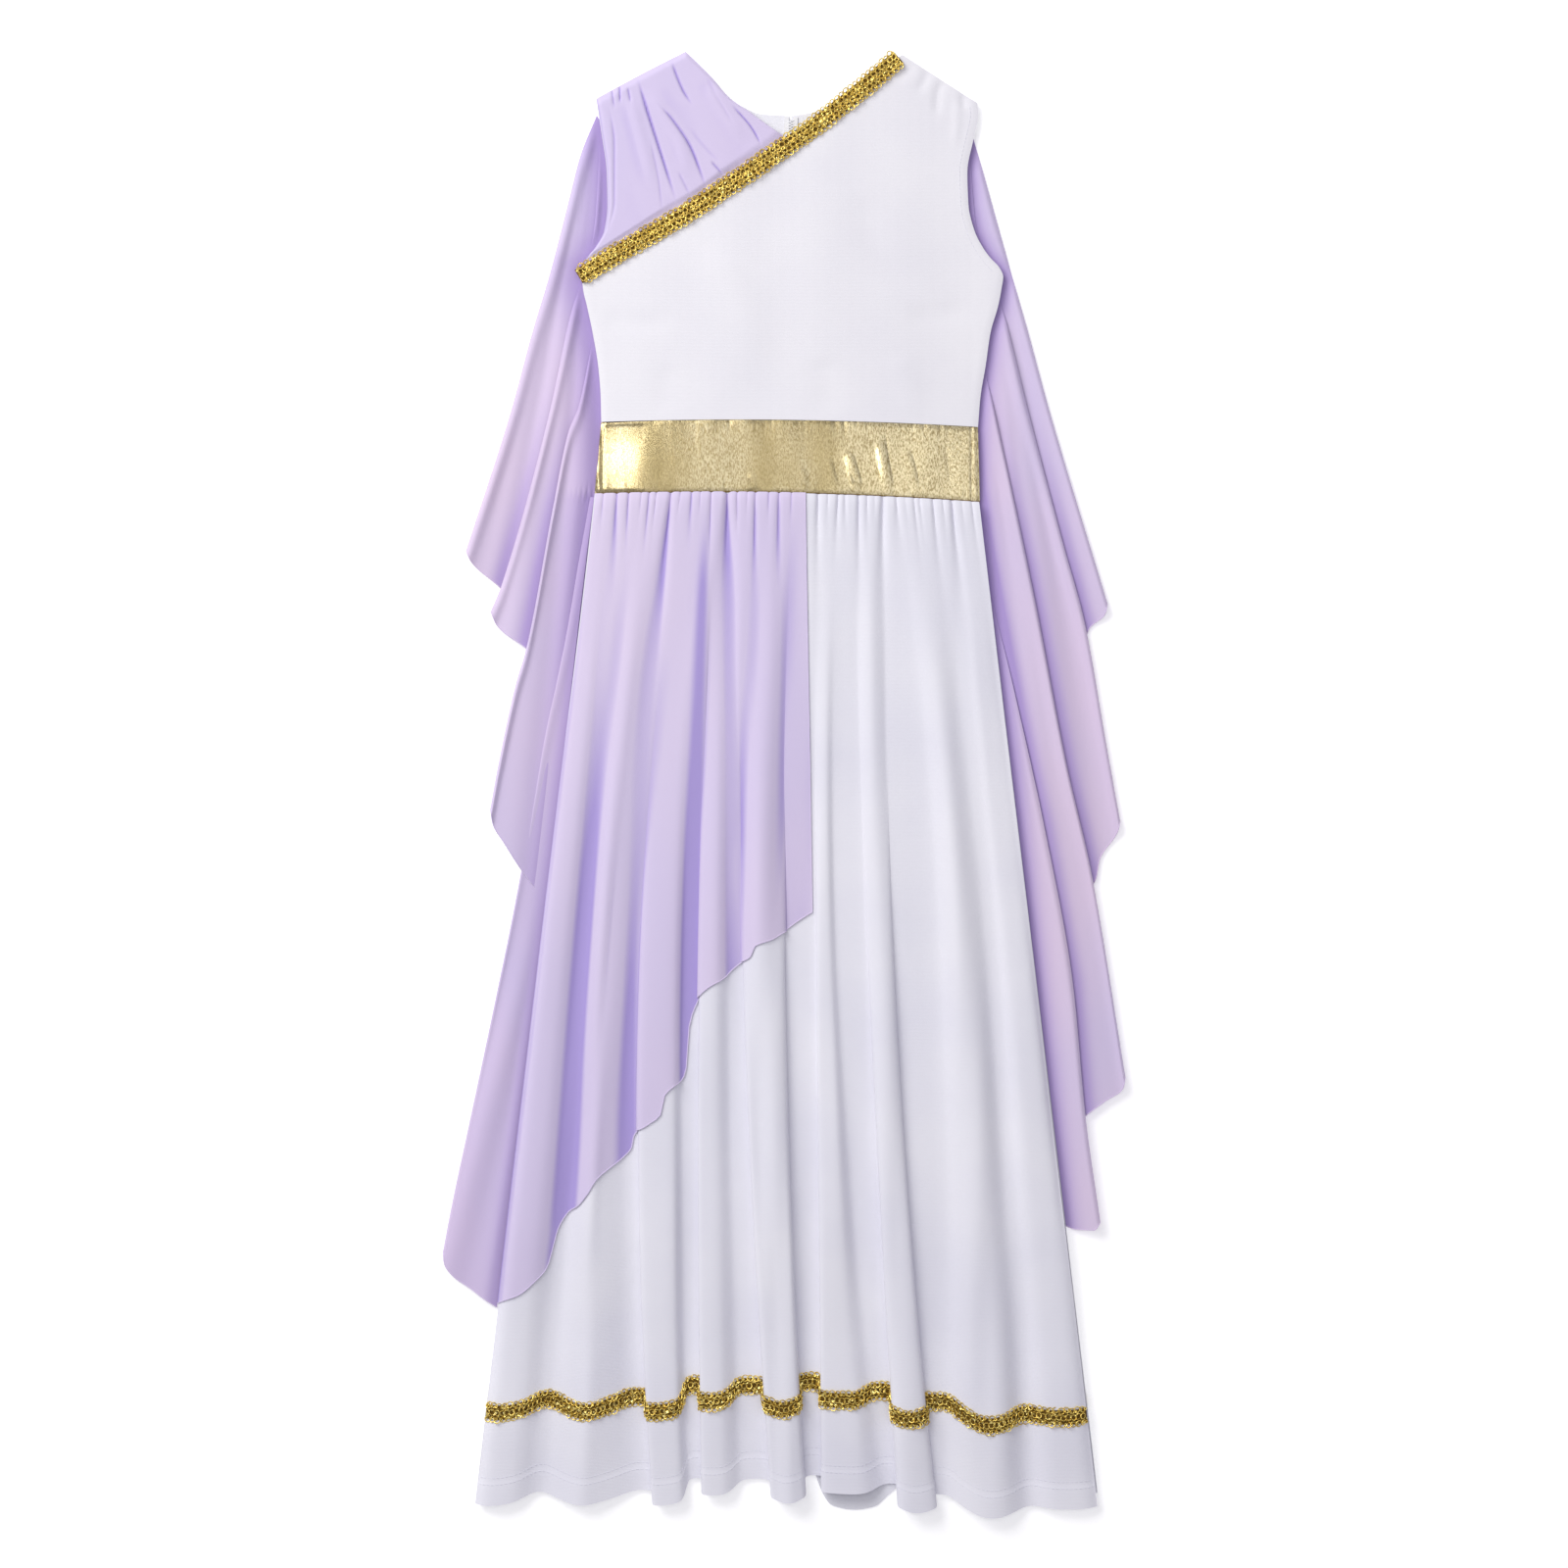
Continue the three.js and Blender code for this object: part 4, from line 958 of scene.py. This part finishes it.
def make_bodice_back(side):
    shoulder, neck, rows = 16, 40, 70
    if side == "left":
        seam = line([LEFT_SIDE[-1], BACK_NECK_LEFT[0]], shoulder)
        top = joined_lines(seam, line(BACK_NECK_LEFT, neck))
        outer, zip_x = LEFT_SIDE, ZIP_LINE - SEAM
    else:
        seam = line([BACK_NECK_RIGHT[-1], RIGHT_SIDE[-1]], shoulder)
        top = joined_lines(line(BACK_NECK_RIGHT, neck), seam)
        outer, zip_x = RIGHT_SIDE, ZIP_LINE + SEAM
    bottom = seam_line(WAIST_TOP_SEAM, *sorted((outer[0][0], zip_x)), len(top), SEAM)
    edge = line([(outer[0][0], seam_at(WAIST_TOP_SEAM, outer[0][0]) + SEAM)] + outer[1:], rows)
    middle = line([(zip_x, seam_at(WAIST_TOP_SEAM, zip_x) + SEAM), (zip_x, BACK_NECK)], rows)
    flat = patch(bottom, top, edge, middle) if side == "left" else patch(bottom, top, middle, edge)
    x, y = flat[..., 0], flat[..., 1]
    z = np.full_like(x, BACK_LEVEL + BACK_LIFT)
    chunks = [cloth(np.dstack([x, y, z]), KNIT_CLOTH)]
    node = f"bodice_back_{side}"
    return make_piece("white_" + node, chunks, [INSIDE], node)


def band_grid(start, end, columns, rows):
    """Flat grid of a stretch of the waistband, between its two seams."""
    up = np.linspace(0, 1, rows)[:, None]
    across = np.linspace(0, 1, columns)[None]
    x = lerp(lerp(start[0], start[1], up), lerp(end[0], end[1], up), across)
    y = lerp(seam_at(WAIST_BOTTOM_SEAM, x), seam_at(WAIST_TOP_SEAM, x), up)
    return x, y, up + np.zeros_like(x)


LEFT_BAND_END = (-150.5, -145)
RIGHT_BAND_END = (155.5, 154)
BAND_ROLL = 1.4          # how far the waistband's left end turns down
BAND_EDGE_DIP = 0.5      # and its two seamed edges
FOIL_SMOOTH_TO = -104    # the foil is smooth left of this line


def band_gathers(x, up):
    """Short upright puckers that the two seams draw into the foil cloth."""
    chance = np.random.default_rng(23)
    total = np.zeros_like(x)
    for edge, count in ((0, 64), (1, 46)):
        for _ in range(count):
            at = chance.uniform(-146, 152)
            half_width = chance.uniform(0.8, 1.6)
            depth = chance.uniform(0.05, 0.16 if edge else 0.34)
            reach = chance.uniform(0.08, 0.3)
            lean = chance.uniform(-3, 4)
            from_edge = np.abs(up - edge)
            total += depth * bell(x - at - lean * from_edge, half_width) * bell(from_edge, reach)
    return total


def make_waistband_front():
    x, y, up = band_grid(LEFT_BAND_END, RIGHT_BAND_END, 300, 44)
    level = FRONT_LEVEL + crown(x) + KNIT - LAME_CLOTH
    roll_left = BAND_ROLL * bell(x + 152 - 4 * up, 30)
    edges = BAND_EDGE_DIP * (bell(up, 0.03) + bell(1 - up, 0.03))
    side_strip = 0.5 * bell(x - 149, 1.0) + 0.4 * bell(x + 146.5, 1.0)
    smooth = 0.95 * ease((FOIL_SMOOTH_TO + 8 * up - x) / 22)
    smooth = np.maximum(smooth, creased(x, y, BAND_SHINE))
    swell = rippled(x, y, 31, 34, 0.35) * (1 - smooth) + 0.5 * np.sin(np.pi * up)
    z = level - roll_left - edges - side_strip + swell
    z = z - creased(x, y, BAND_CREASES) - band_gathers(x, up) * (1 - 0.85 * smooth)
    grid = np.dstack([x, y, z])
    grid[..., 2] -= rolled(grid, 0.7, 2.0)
    # Painted shadow: a near-black cord along the lower seam stands in for the shadow gap between band
    # and skirt
    seam = tube(grid[0] + [0, 0.3, LAME_CLOTH - 0.1], 0.6, 6)
    chunks = [cloth(grid, LAME_CLOTH, smooth), (*seam, 1)]
    return make_piece(
        "gold_waistband_front", chunks, [LAME, PAINTED_SHADE_GOLD], "waistband_front", 60)


def make_waistband_back(side):
    zip_end = (ZIP_LINE - SEAM,) * 2 if side == "left" else (ZIP_LINE + SEAM,) * 2
    ends = (LEFT_BAND_END, zip_end) if side == "left" else (zip_end, RIGHT_BAND_END)
    x, y, up = band_grid(*ends, 90, 16)
    z = np.full_like(x, BACK_LEVEL + BACK_LIFT)
    chunks = [cloth(np.dstack([x, y, z]), LAME_CLOTH)]
    node = f"waistband_back_{side}"
    return make_piece("gold_" + node, chunks, [LAME], node)


CHEST_PUFF = 2.2         # how far the chest overlay stands off the bodice
CHEST_AIR = 0.25         # and how far it does where it is sewn down
CHEST_ROLL = 0.9


def make_chest_overlay():
    shoulder, neck, rows = 86, 104, 150
    top = joined_lines(line(CHEST_TOP, shoulder), line(CHEST_NECK, neck))
    bottom = line(CHEST_BOTTOM, len(top))
    armhole = [(x + SEAM, y) for x, y in LEFT_SIDE if 407 < y < 543]
    left = line([CHEST_BOTTOM[0]] + armhole + [CHEST_TOP[0]], rows)
    right = line([CHEST_BOTTOM[-1], CHEST_NECK[-1]], rows)
    flat = patch(bottom, top, left, right)
    x, y = flat[..., 0], flat[..., 1]
    up = np.linspace(0, 1, rows)[:, None]
    away = np.linalg.norm(flat - flat[:1], axis=2)
    free = ease((away - 3.5) / 12)
    puff = CHEST_PUFF * free * ease((1 - up) / 0.06 + 0.25)
    folds = creased(x, y, CHEST_CREASES) + rippled(x + 0.35 * y, y, 9, 26, 0.14)
    z = FRONT_LEVEL + crown(x) + KNIT + SEAM + CHEST_AIR + puff - folds * free
    z = np.maximum(z, FRONT_LEVEL + crown(x) + KNIT + 0.4)
    grid = np.dstack([x, y, z])
    grid[..., 2] -= CHEST_ROLL * bell(np.linalg.norm(flat - flat[:, :1], axis=2), 2.2)
    # A slight deepening all over, and painted shade in the troughs of the creases
    tone = np.clip(0.1 + trough_shade(grid, 6, 0.9), 0, 1)
    chunks = [cloth(grid, CHIFFON_CLOTH, tone)]
    return make_piece("lilac_chest_overlay", chunks, [LILAC], "chest_overlay")


# Back drape and the side panel of the overlay

def dress_side(y, side):
    """Where the dress's own side lies at a height, as seen from the front."""
    key = 0 if side == "left" else -1
    down = np.clip((WAIST_BOTTOM - y) / SKIRT_LENGTH, 0, 1)
    skirt = bend(*SKIRT[:3, key], down)
    rows = np.array(LEFT_SIDE if side == "left" else RIGHT_SIDE)
    bodice = np.interp(y, rows[:, 1], rows[:, 0])
    return np.where(y < WAIST_BOTTOM, skirt, bodice)


def outside_dress(x, y, side):
    """How far points lie outside the dress's own side."""
    return dress_side(y, side) - x if side == "left" else x - dress_side(y, side)


# Height and phase of the folds that fan out on each side of the drape
FAN_FOLDS = {"left": (2.2, 0.4), "right": (2.4, 1.3)}
FAN_REACH = 420          # distance from the shoulder at which they are full
PANEL_ROLL = 2.6         # rise of the rolled edge of a panel, and its dip at the very edge
PANEL_EDGE_DIP = 0.6
SIDE_SWELL = 2.6
SIDE_WAVE = 1.2


def fan_height(x, y, side):
    """Soft folds that fan out from the shoulder, flat where the dress lies on them."""
    shoulder_x, shoulder_y = SHOULDERS[side]
    free = ease((outside_dress(x, y, side) - 2) / 26)
    reach = np.hypot(x - shoulder_x, y - shoulder_y)
    angle = np.degrees(np.arctan2(np.abs(x - shoulder_x), shoulder_y - y))
    height, phase = FAN_FOLDS[side]
    wide = np.sin(angle * 0.95 + phase + 0.35 * np.sin(reach / 90))
    narrow = 0.35 * np.sin(angle * 2.1 + 2 * phase)
    return free * height * ease(reach / FAN_REACH) * (0.75 + 0.5 * (wide + narrow))


def beside(y, line_y, line_x, x, side):
    """How far points lie outside a line that runs down a side of the dress."""
    order = np.argsort(line_y)
    at = np.interp(y, np.array(line_y)[order], np.array(line_x)[order])
    return at - x if side == "left" else x - at


def panel_shade(x, y, side, above):
    """Painted shade: a deeper, more violet tone in the fold beside the dress, and where the panel that
    lies on this one shades it.
    """
    reach = 19 if side == "left" else 10
    tone = 0.95 * bell(np.maximum(outside_dress(x, y, side), 0), reach)
    if above:
        line_x, line_y = zip(*above.outer)
        away = beside(y, line_y, line_x, x, side)
        reached = ease((y - above.outer[-1][1]) / 25)
        tone += 0.9 * reached * bell(away - 2, 7.5) * ease((350 - y) / 200)
    return np.clip(tone, 0, 1)


def panel_chunks(panel, side, above):
    rows, columns = 110, 46
    outer = line(panel.outer, rows)
    inner = line(panel.inner, rows)
    hem = line(panel.hem, columns)
    top = line([panel.outer[0], panel.inner[0]], columns)
    flat = patch(top, hem, outer, inner)
    x, y = flat[..., 0], flat[..., 1]
    edge = np.linalg.norm(flat - flat[:, :1], axis=2)
    free = ease((outside_dress(x, y, side) - 1) / 14)
    roll = free * (PANEL_ROLL * np.exp(-((edge - 5) / 5.5) ** 2) - PANEL_EDGE_DIP * bell(edge, 1.5))
    z = panel.level * (1 + 1.3 * free) + fan_height(x, y, side) + roll
    grid = np.dstack([x, y, np.maximum(z, FLOOR_GAP)])
    hem_line = grid[-1] + [0, 0, 0.3]
    return [cloth(grid, CHIFFON_CLOTH, panel_shade(x, y, side, above)), (*tube(hem_line, 0.45, 6), 0)]


def make_drape():
    chunks = [
        chunk
        for side, panels in DRAPE_PANELS.items()
        for panel, above in zip(panels, panels[1:] + [None])
        for chunk in panel_chunks(panel, side, above)
    ]
    flat = patch(*(line(edge, 60) for edge in DRAPE_MIDDLE))
    z = np.full(flat.shape[:2], FLOOR_GAP)
    chunks.append(cloth(np.dstack([flat, z]), 0.1))
    return make_piece("lilac_back_drape", chunks, [DRAPE_LILAC], "back_drape")


def make_side_panel():
    rows, columns = 110, 40
    inner = line(SIDE_INNER, rows)
    outer = line(SIDE_OUTER, rows)
    hem = line(SIDE_HEM, columns)
    top = line([SIDE_INNER[0], SIDE_OUTER[0]], columns)
    flat = patch(top, hem, inner, outer)
    x, y = flat[..., 0], flat[..., 1]
    part = np.linspace(0, 1, columns)[None]
    low = ease((-60 - y) / 200)
    from_skirt = np.linalg.norm(flat - flat[:, :1], axis=2)
    from_edge = np.linalg.norm(flat - flat[:, -1:], axis=2)
    wave = SIDE_WAVE * low * np.sin(part * 9 + y / 70) * ease(from_skirt / 12)
    swell = SIDE_SWELL * low * np.sin(np.pi * part) + wave
    z = BACK_LEVEL * (1 - 0.75 * part * low) + 0.3 + swell + bell(from_edge - 4, 4)
    grid = np.dstack([x, y, z])
    # A slight deepening all over, and painted shade in the fold beside the skirt's side
    tone = 0.16 + 0.6 * bell(from_skirt, 9)
    chunks = [cloth(grid, CHIFFON_CLOTH, tone), (*tube(grid[-1] + [0, 0, 0.15], 0.5, 6), 0)]
    return make_piece(
        "lilac_overlay_side", chunks, [DRAPE_LILAC], "skirt_overlay_side")


# Braids, made flat and then laid along a line on the cloth

class Strip:
    """Carries points of a flat strip, along, across and up, onto a line on the cloth."""

    def __init__(self, centre, down, out):
        self.marks = walked(centre)
        self.length = self.marks[-1]
        self.centre = centre
        self.down = down
        self.out = out

    def carry(self, points):
        lines = (self.centre, self.down, self.out)
        centre, down, out = (read_along(points[:, 0], self.marks, values) for values in lines)
        return centre + down * points[:, 1:2] + out * points[:, 2:3]


# Rows of rings in a braid: place across it, ring radius, pitch and height above the cloth
RingRow = namedtuple("RingRow", "across radius pitch height")
CHEST_RINGS = [RingRow(*row) for row in (
    (-6.1, 2.3, 4.6, 0.7), (6.1, 2.3, 4.6, 0.7), (-5.7, 1.0, 4.6, 1.0),
    (5.7, 1.0, 4.6, 1.0), (-2.7, 2.1, 4.2, 1.1), (2.7, 2.1, 4.2, 1.1),
    (0, 1.3, 3.1, 1.2),
)]
HEM_RINGS = [RingRow(*row) for row in (
    (-5.5, 2.3, 4.3, 0.7), (5.5, 2.3, 4.3, 0.7), (-5.1, 0.9, 4.3, 1.0),
    (5.1, 0.9, 4.3, 1.0), (0, 2.3, 3.9, 1.1),
)]
BACK_HEM_RINGS = [RingRow(*row) for row in (
    (-5.2, 1.4, 3.8, 0.45), (5.2, 1.4, 3.8, 0.45), (0, 2.2, 4.6, 0.5),
)]

Braid = namedtuple("Braid", "width rows cord segments seed")
CHEST_BRAID = Braid(17, CHEST_RINGS, 0.5, 12, 41)
HEM_BRAID = Braid(16, HEM_RINGS, 0.46, 10, 42)
BACK_HEM_BRAID = Braid(16, BACK_HEM_RINGS, 0.4, 7, 43)
BACKING_STEP = 1.6
SEQUIN_AREA = 12         # square millimetres of braid for each sequin


def braid_chunks(strip, braid):
    """Backing, rows of little rings that interlace, and sequins of one braid."""
    chance = np.random.default_rng(braid.seed)
    length = strip.length
    half = 0.36 * braid.width

    # The backing takes the near-black gold, as painted shade in the braid's holes
    along = np.linspace(0, length, int(length / BACKING_STEP))
    across = np.linspace(-half, half, 7)
    flat = np.stack(np.broadcast_arrays(along[:, None], across[None], 0.12), -1)
    lower = strip.carry(flat.reshape(-1, 3)).reshape(flat.shape)
    upper = strip.carry((flat + [0, 0, 0.3]).reshape(-1, 3)).reshape(flat.shape)
    chunks = [(*wall(lower, upper), 2)]

    for row in braid.rows:
        ends = (row.radius + braid.cord, length - row.radius - braid.cord)
        places = np.arange(*ends, row.pitch)
        places = places + chance.uniform(-0.25, 0.25, len(places)) + chance.uniform(0, 1)
        centres = np.column_stack([
            np.clip(places, *ends),
            row.across + chance.uniform(-0.5, 0.5, len(places)),
            row.height + chance.uniform(-0.12, 0.2, len(places)),
        ])
        radii = row.radius * chance.uniform(0.88, 1.08, len(places))
        tilts = chance.uniform(-0.45, 0.45, (len(places), 2))
        corners, faces = rings(centres, radii, tilts, braid.cord, braid.segments, 5)
        chunks.append((strip.carry(corners), faces, 0))

    for _ in range(int(length * braid.width / SEQUIN_AREA)):
        centre = np.array([
            chance.uniform(0.8, length - 0.8), chance.uniform(-half, half), chance.uniform(0.9, 1.35),
        ])
        radius = chance.uniform(0.5, 1.1)
        corners, faces = plate(centre, radius, chance.uniform(-0.8, 0.8, 2), chance.uniform(0, 1), 0.12)
        chunks.append((strip.carry(corners), faces, 1))
    return chunks


BACK_BRAID_TOP = 1.35
HEM_BRAID_STEP = 0.004   # half the part of the skirt's length over which the braid's slope is read
BRAID_FINISHES = [GOLD_THREAD, GOLD_SEQUIN, PAINTED_SHADE_GOLD]
HEM_FINISHES = [HEM_THREAD, HEM_SEQUIN, PAINTED_SHADE_GOLD]


def make_chest_braid():
    centre = line(CHEST_BRAID_LINE, 240)
    forward = headings(centre)
    level = FRONT_LEVEL + crown(centre[:, 0]) + KNIT + SEAM + CHIFFON
    points = np.column_stack([centre, level])
    down = np.column_stack([-forward[:, 1], forward[:, 0], np.zeros(len(centre))])
    out = np.tile([0, 0, 1.0], (len(centre), 1))
    strip = Strip(points, down, out)
    chunks = braid_chunks(strip, CHEST_BRAID)
    return make_piece("gold_chest_braid", chunks, BRAID_FINISHES, "chest_braid", 50)


def above_hem(height, fineness, step):
    """Three rows of the skirt's surface, a step apart, around a line at a height above the hem."""
    columns = np.linspace(0, SKIRT_LAST, SKIRT_LAST * fineness + 1)
    low = np.interp(columns, SKIRT_COLUMNS, SKIRT[3])
    middle = 1 - height / (WAIST_BOTTOM - low)
    down = middle[None] + np.array([-step, 0, step])[:, None]
    return skirt_surface(np.broadcast_to(columns[None], down.shape), down)


def strip_on_grid(grid, row):
    """A strip along one row of a grid, down its columns and out along its normals."""
    out = normals_of(grid)[row]
    down = grid[row + 1] - grid[row - 1]
    down /= np.linalg.norm(down, axis=1, keepdims=True)
    return Strip(grid[row], down, out)


def make_hem_braid_front():
    grid = above_hem(HEM_BRAID_ABOVE_HEM, 12, HEM_BRAID_STEP)
    out = normals_of(grid)
    grid = lifted(grid, KNIT - KNIT_CLOTH) + out * (KNIT_CLOTH + 0.1)
    chunks = braid_chunks(strip_on_grid(grid, 1), HEM_BRAID)
    return make_piece("gold_hem_braid_front", chunks, HEM_FINISHES, "hem_braid_front", 50)


def make_hem_braid_back():
    hem_x, hem_y = back_hem(200)
    middle = (hem_y + HEM_BRAID_ABOVE_HEM - WAIST_BOTTOM) / (hem_y - WAIST_BOTTOM)
    steps = (-HEM_BRAID_STEP, 0, HEM_BRAID_STEP)
    grid = np.stack([skirt_back_surface(hem_x, hem_y, middle + step) for step in steps])
    grid[..., 2] = BACK_BRAID_TOP
    strip = strip_on_grid(grid, 1)
    strip.out = -strip.out
    above_floor = [-np.inf, -np.inf, FLOOR_GAP / 2]
    chunks = [
        (np.maximum(corners, above_floor), *rest)
        for corners, *rest in braid_chunks(strip, BACK_HEM_BRAID)
    ]
    return make_piece("gold_hem_braid_back", chunks, HEM_FINISHES, "hem_braid_back", 50)


# Zip and sewing

def tooth_chunk(low, high):
    """One tooth of the zip, a small block between two corners."""
    x = np.linspace(low[0], high[0], 3)[None]
    y = np.linspace(low[1], high[1], 3)[:, None]
    grid = np.stack(np.broadcast_arrays(x, y, low[2]), -1)
    return (*wall(grid, lifted(grid, high[2] - low[2])), 0)


ZIP_BOTTOM = 234
ZIP_TAPE_WIDTH = 5
TOOTH_PITCH = 2.2


def make_zip_tape(side, sign):
    inside = ZIP_LINE + sign * SEAM
    low_x, high_x = sorted((inside + sign * 1.4, inside + sign * ZIP_TAPE_WIDTH))
    rows = np.linspace(ZIP_BOTTOM, BACK_NECK - 1, 120)
    columns = np.linspace(low_x, high_x, 6)
    grid = np.stack(np.broadcast_arrays(columns[None], rows[:, None], FRONT_LEVEL), -1)
    chunks = [cloth(grid, 0.45)]
    count = int((BACK_NECK - 3 - ZIP_BOTTOM) / TOOTH_PITCH)
    for number in range(count):
        y = ZIP_BOTTOM + 1 + number * TOOTH_PITCH + (TOOTH_PITCH / 2 if sign > 0 else 0)
        near, far = sorted((ZIP_LINE - sign * 0.35, inside + sign * 1.9))
        chunks.append(tooth_chunk((near, y, FRONT_LEVEL + 0.05), (far, y + 1.3, FRONT_LEVEL + 0.75)))
    node = f"zip_tape_{side}"
    make_piece(node + "_fine", chunks, [ZIP_CLOTH], node, 35)


Stitch = namedtuple("Stitch", "pitch length radius")
HEM_STITCH = Stitch(3.6, 2.5, 0.2)
ARMHOLE_STITCH = Stitch(3.4, 2.4, 0.17)
ARMHOLE_INSET = 6
HEM_STITCH_STEP = 0.003


def stitch_row(points, out, stitch):
    """Short raised stitches along a line of points, just proud of the cloth."""
    marks = walked(points)
    chunks = []
    for start in np.arange(stitch.pitch / 2, marks[-1] - stitch.length, stitch.pitch):
        at = start + np.array([0, 0.5, 1]) * stitch.length
        arched = read_along(at, marks, out) * np.array([0.0, 0.6, 0.0])[:, None] * stitch.radius
        chunks.append((*tube(read_along(at, marks, points) + arched, stitch.radius, 5), 0))
    return chunks


def make_hem_stitches():
    """Two rows of stitches that hold the turned-up hem, on the front and its waves."""
    chunks = []
    for above in (HEM_FOLD - 1.5, HEM_FOLD + 4.0):
        grid = above_hem(above, 8, HEM_STITCH_STEP)
        out = normals_of(grid)[1]
        thick = KNIT_CLOTH * (1 + (HEM_THICKER if above < HEM_FOLD else 0))
        points = grid[1] + [0, 0, KNIT - KNIT_CLOTH] + out * (thick + 0.02)
        chunks.extend(stitch_row(points, out, HEM_STITCH))
    return make_piece("hem_stitches", chunks, [THREAD], sharp=60)


def make_armhole_stitches():
    """A row of stitches inside each armhole of the front."""
    chunks = []
    for side, sign in ((LEFT_SIDE, 1), (RIGHT_SIDE, -1)):
        edge = line([point for point in side if point[1] > 404], 160)
        forward = headings(edge)
        inward = np.stack([forward[:, 1], -forward[:, 0]], 1) * sign
        points = edge + inward * ARMHOLE_INSET
        on_overlay = sign > 0
        points = points[points[:, 1] > (424 if on_overlay else 404)]
        lift = KNIT + (SEAM + CHEST_AIR + CHIFFON_CLOTH + 0.2 if on_overlay else 0.03)
        z = bodice_level(points[:, 0], points[:, 1]) + lift
        out = np.tile([0, 0, 1.0], (len(points), 1))
        chunks.extend(stitch_row(np.column_stack([points, z]), out, ARMHOLE_STITCH))
    return make_piece("armhole_stitches", chunks, [THREAD], sharp=60)


skirt_front = make_skirt_front()
skirt_overlay = make_skirt_overlay()
skirt_back = make_skirt_back()
bodice_front = make_bodice_front()
bodice_backs = [make_bodice_back(side) for side in ("left", "right")]
waistband_front = make_waistband_front()
waistband_backs = [make_waistband_back(side) for side in ("left", "right")]
chest_overlay = make_chest_overlay()
drape = make_drape()
side_panel = make_side_panel()
chest_braid = make_chest_braid()
hem_braid_front = make_hem_braid_front()
hem_braid_back = make_hem_braid_back()
for side, sign in (("left", -1), ("right", 1)):
    make_zip_tape(side, sign)
hem_stitches = make_hem_stitches()
armhole_stitches = make_armhole_stitches()

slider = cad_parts["zip_slider"]
slider.data.materials.clear()
slider.data.materials.append(ZIP_CLOTH)


# Floor and light

def add_floor():
    size = 6.0
    mesh = bpy.data.meshes.new("floor")
    corners = [(-size, -size, 0), (size, -size, 0), (size, size, 0), (-size, size, 0)]
    mesh.from_pydata(corners, [], [(0, 1, 2, 3)])
    floor = bpy.data.objects.new("floor", mesh)
    material, _, shader = new_finish("floor_white", Roughness=0.9)
    shader.inputs["Base Color"].default_value = (0.94, 0.94, 0.94, 1)
    shader.inputs["Emission Color"].default_value = (1, 1, 1, 1)
    shader.inputs["Emission Strength"].default_value = 0.3
    mesh.materials.append(material)
    bpy.context.scene.collection.objects.link(floor)


# Lights, in metres and watts
Light = namedtuple("Light", "name position size power colour")
LIGHTS = [
    Light("key", (-1.7, 1.75, 2.0), (2.0, 2.0), 77, (1.0, 0.99, 0.965)),
    Light("overhead", (1.05, 0.0, 4.6), (2.0, 2.6), 26, (1, 1, 1)),
    Light("strip", (-1.0, 0.65, 4.2), (0.36, 1.6), 18, (1, 1, 1)),
]


def add_light(kind):
    """A rectangular light that points at the middle of the floor."""
    data = bpy.data.lights.new(kind.name, "AREA")
    data.shape = "RECTANGLE"
    data.size, data.size_y = kind.size
    data.energy = kind.power
    data.color = kind.colour
    light = bpy.data.objects.new(kind.name, data)
    light.location = kind.position
    direction = np.zeros(3) - kind.position
    flat = math.hypot(direction[0], direction[1])
    light.rotation_euler = (
        math.pi / 2 + math.atan2(direction[2], flat), 0, math.atan2(-direction[0], direction[1]))
    bpy.context.scene.collection.objects.link(light)


def add_lights():
    world = bpy.data.worlds.new("studio")
    world.use_nodes = True
    background = world.node_tree.nodes["Background"]
    background.inputs["Color"].default_value = (0.92, 0.90, 1.0, 1)
    background.inputs["Strength"].default_value = 0.37
    bpy.context.scene.world = world
    for kind in LIGHTS:
        add_light(kind)
    bpy.context.scene.view_settings.view_transform = "Standard"


add_floor()
add_lights()
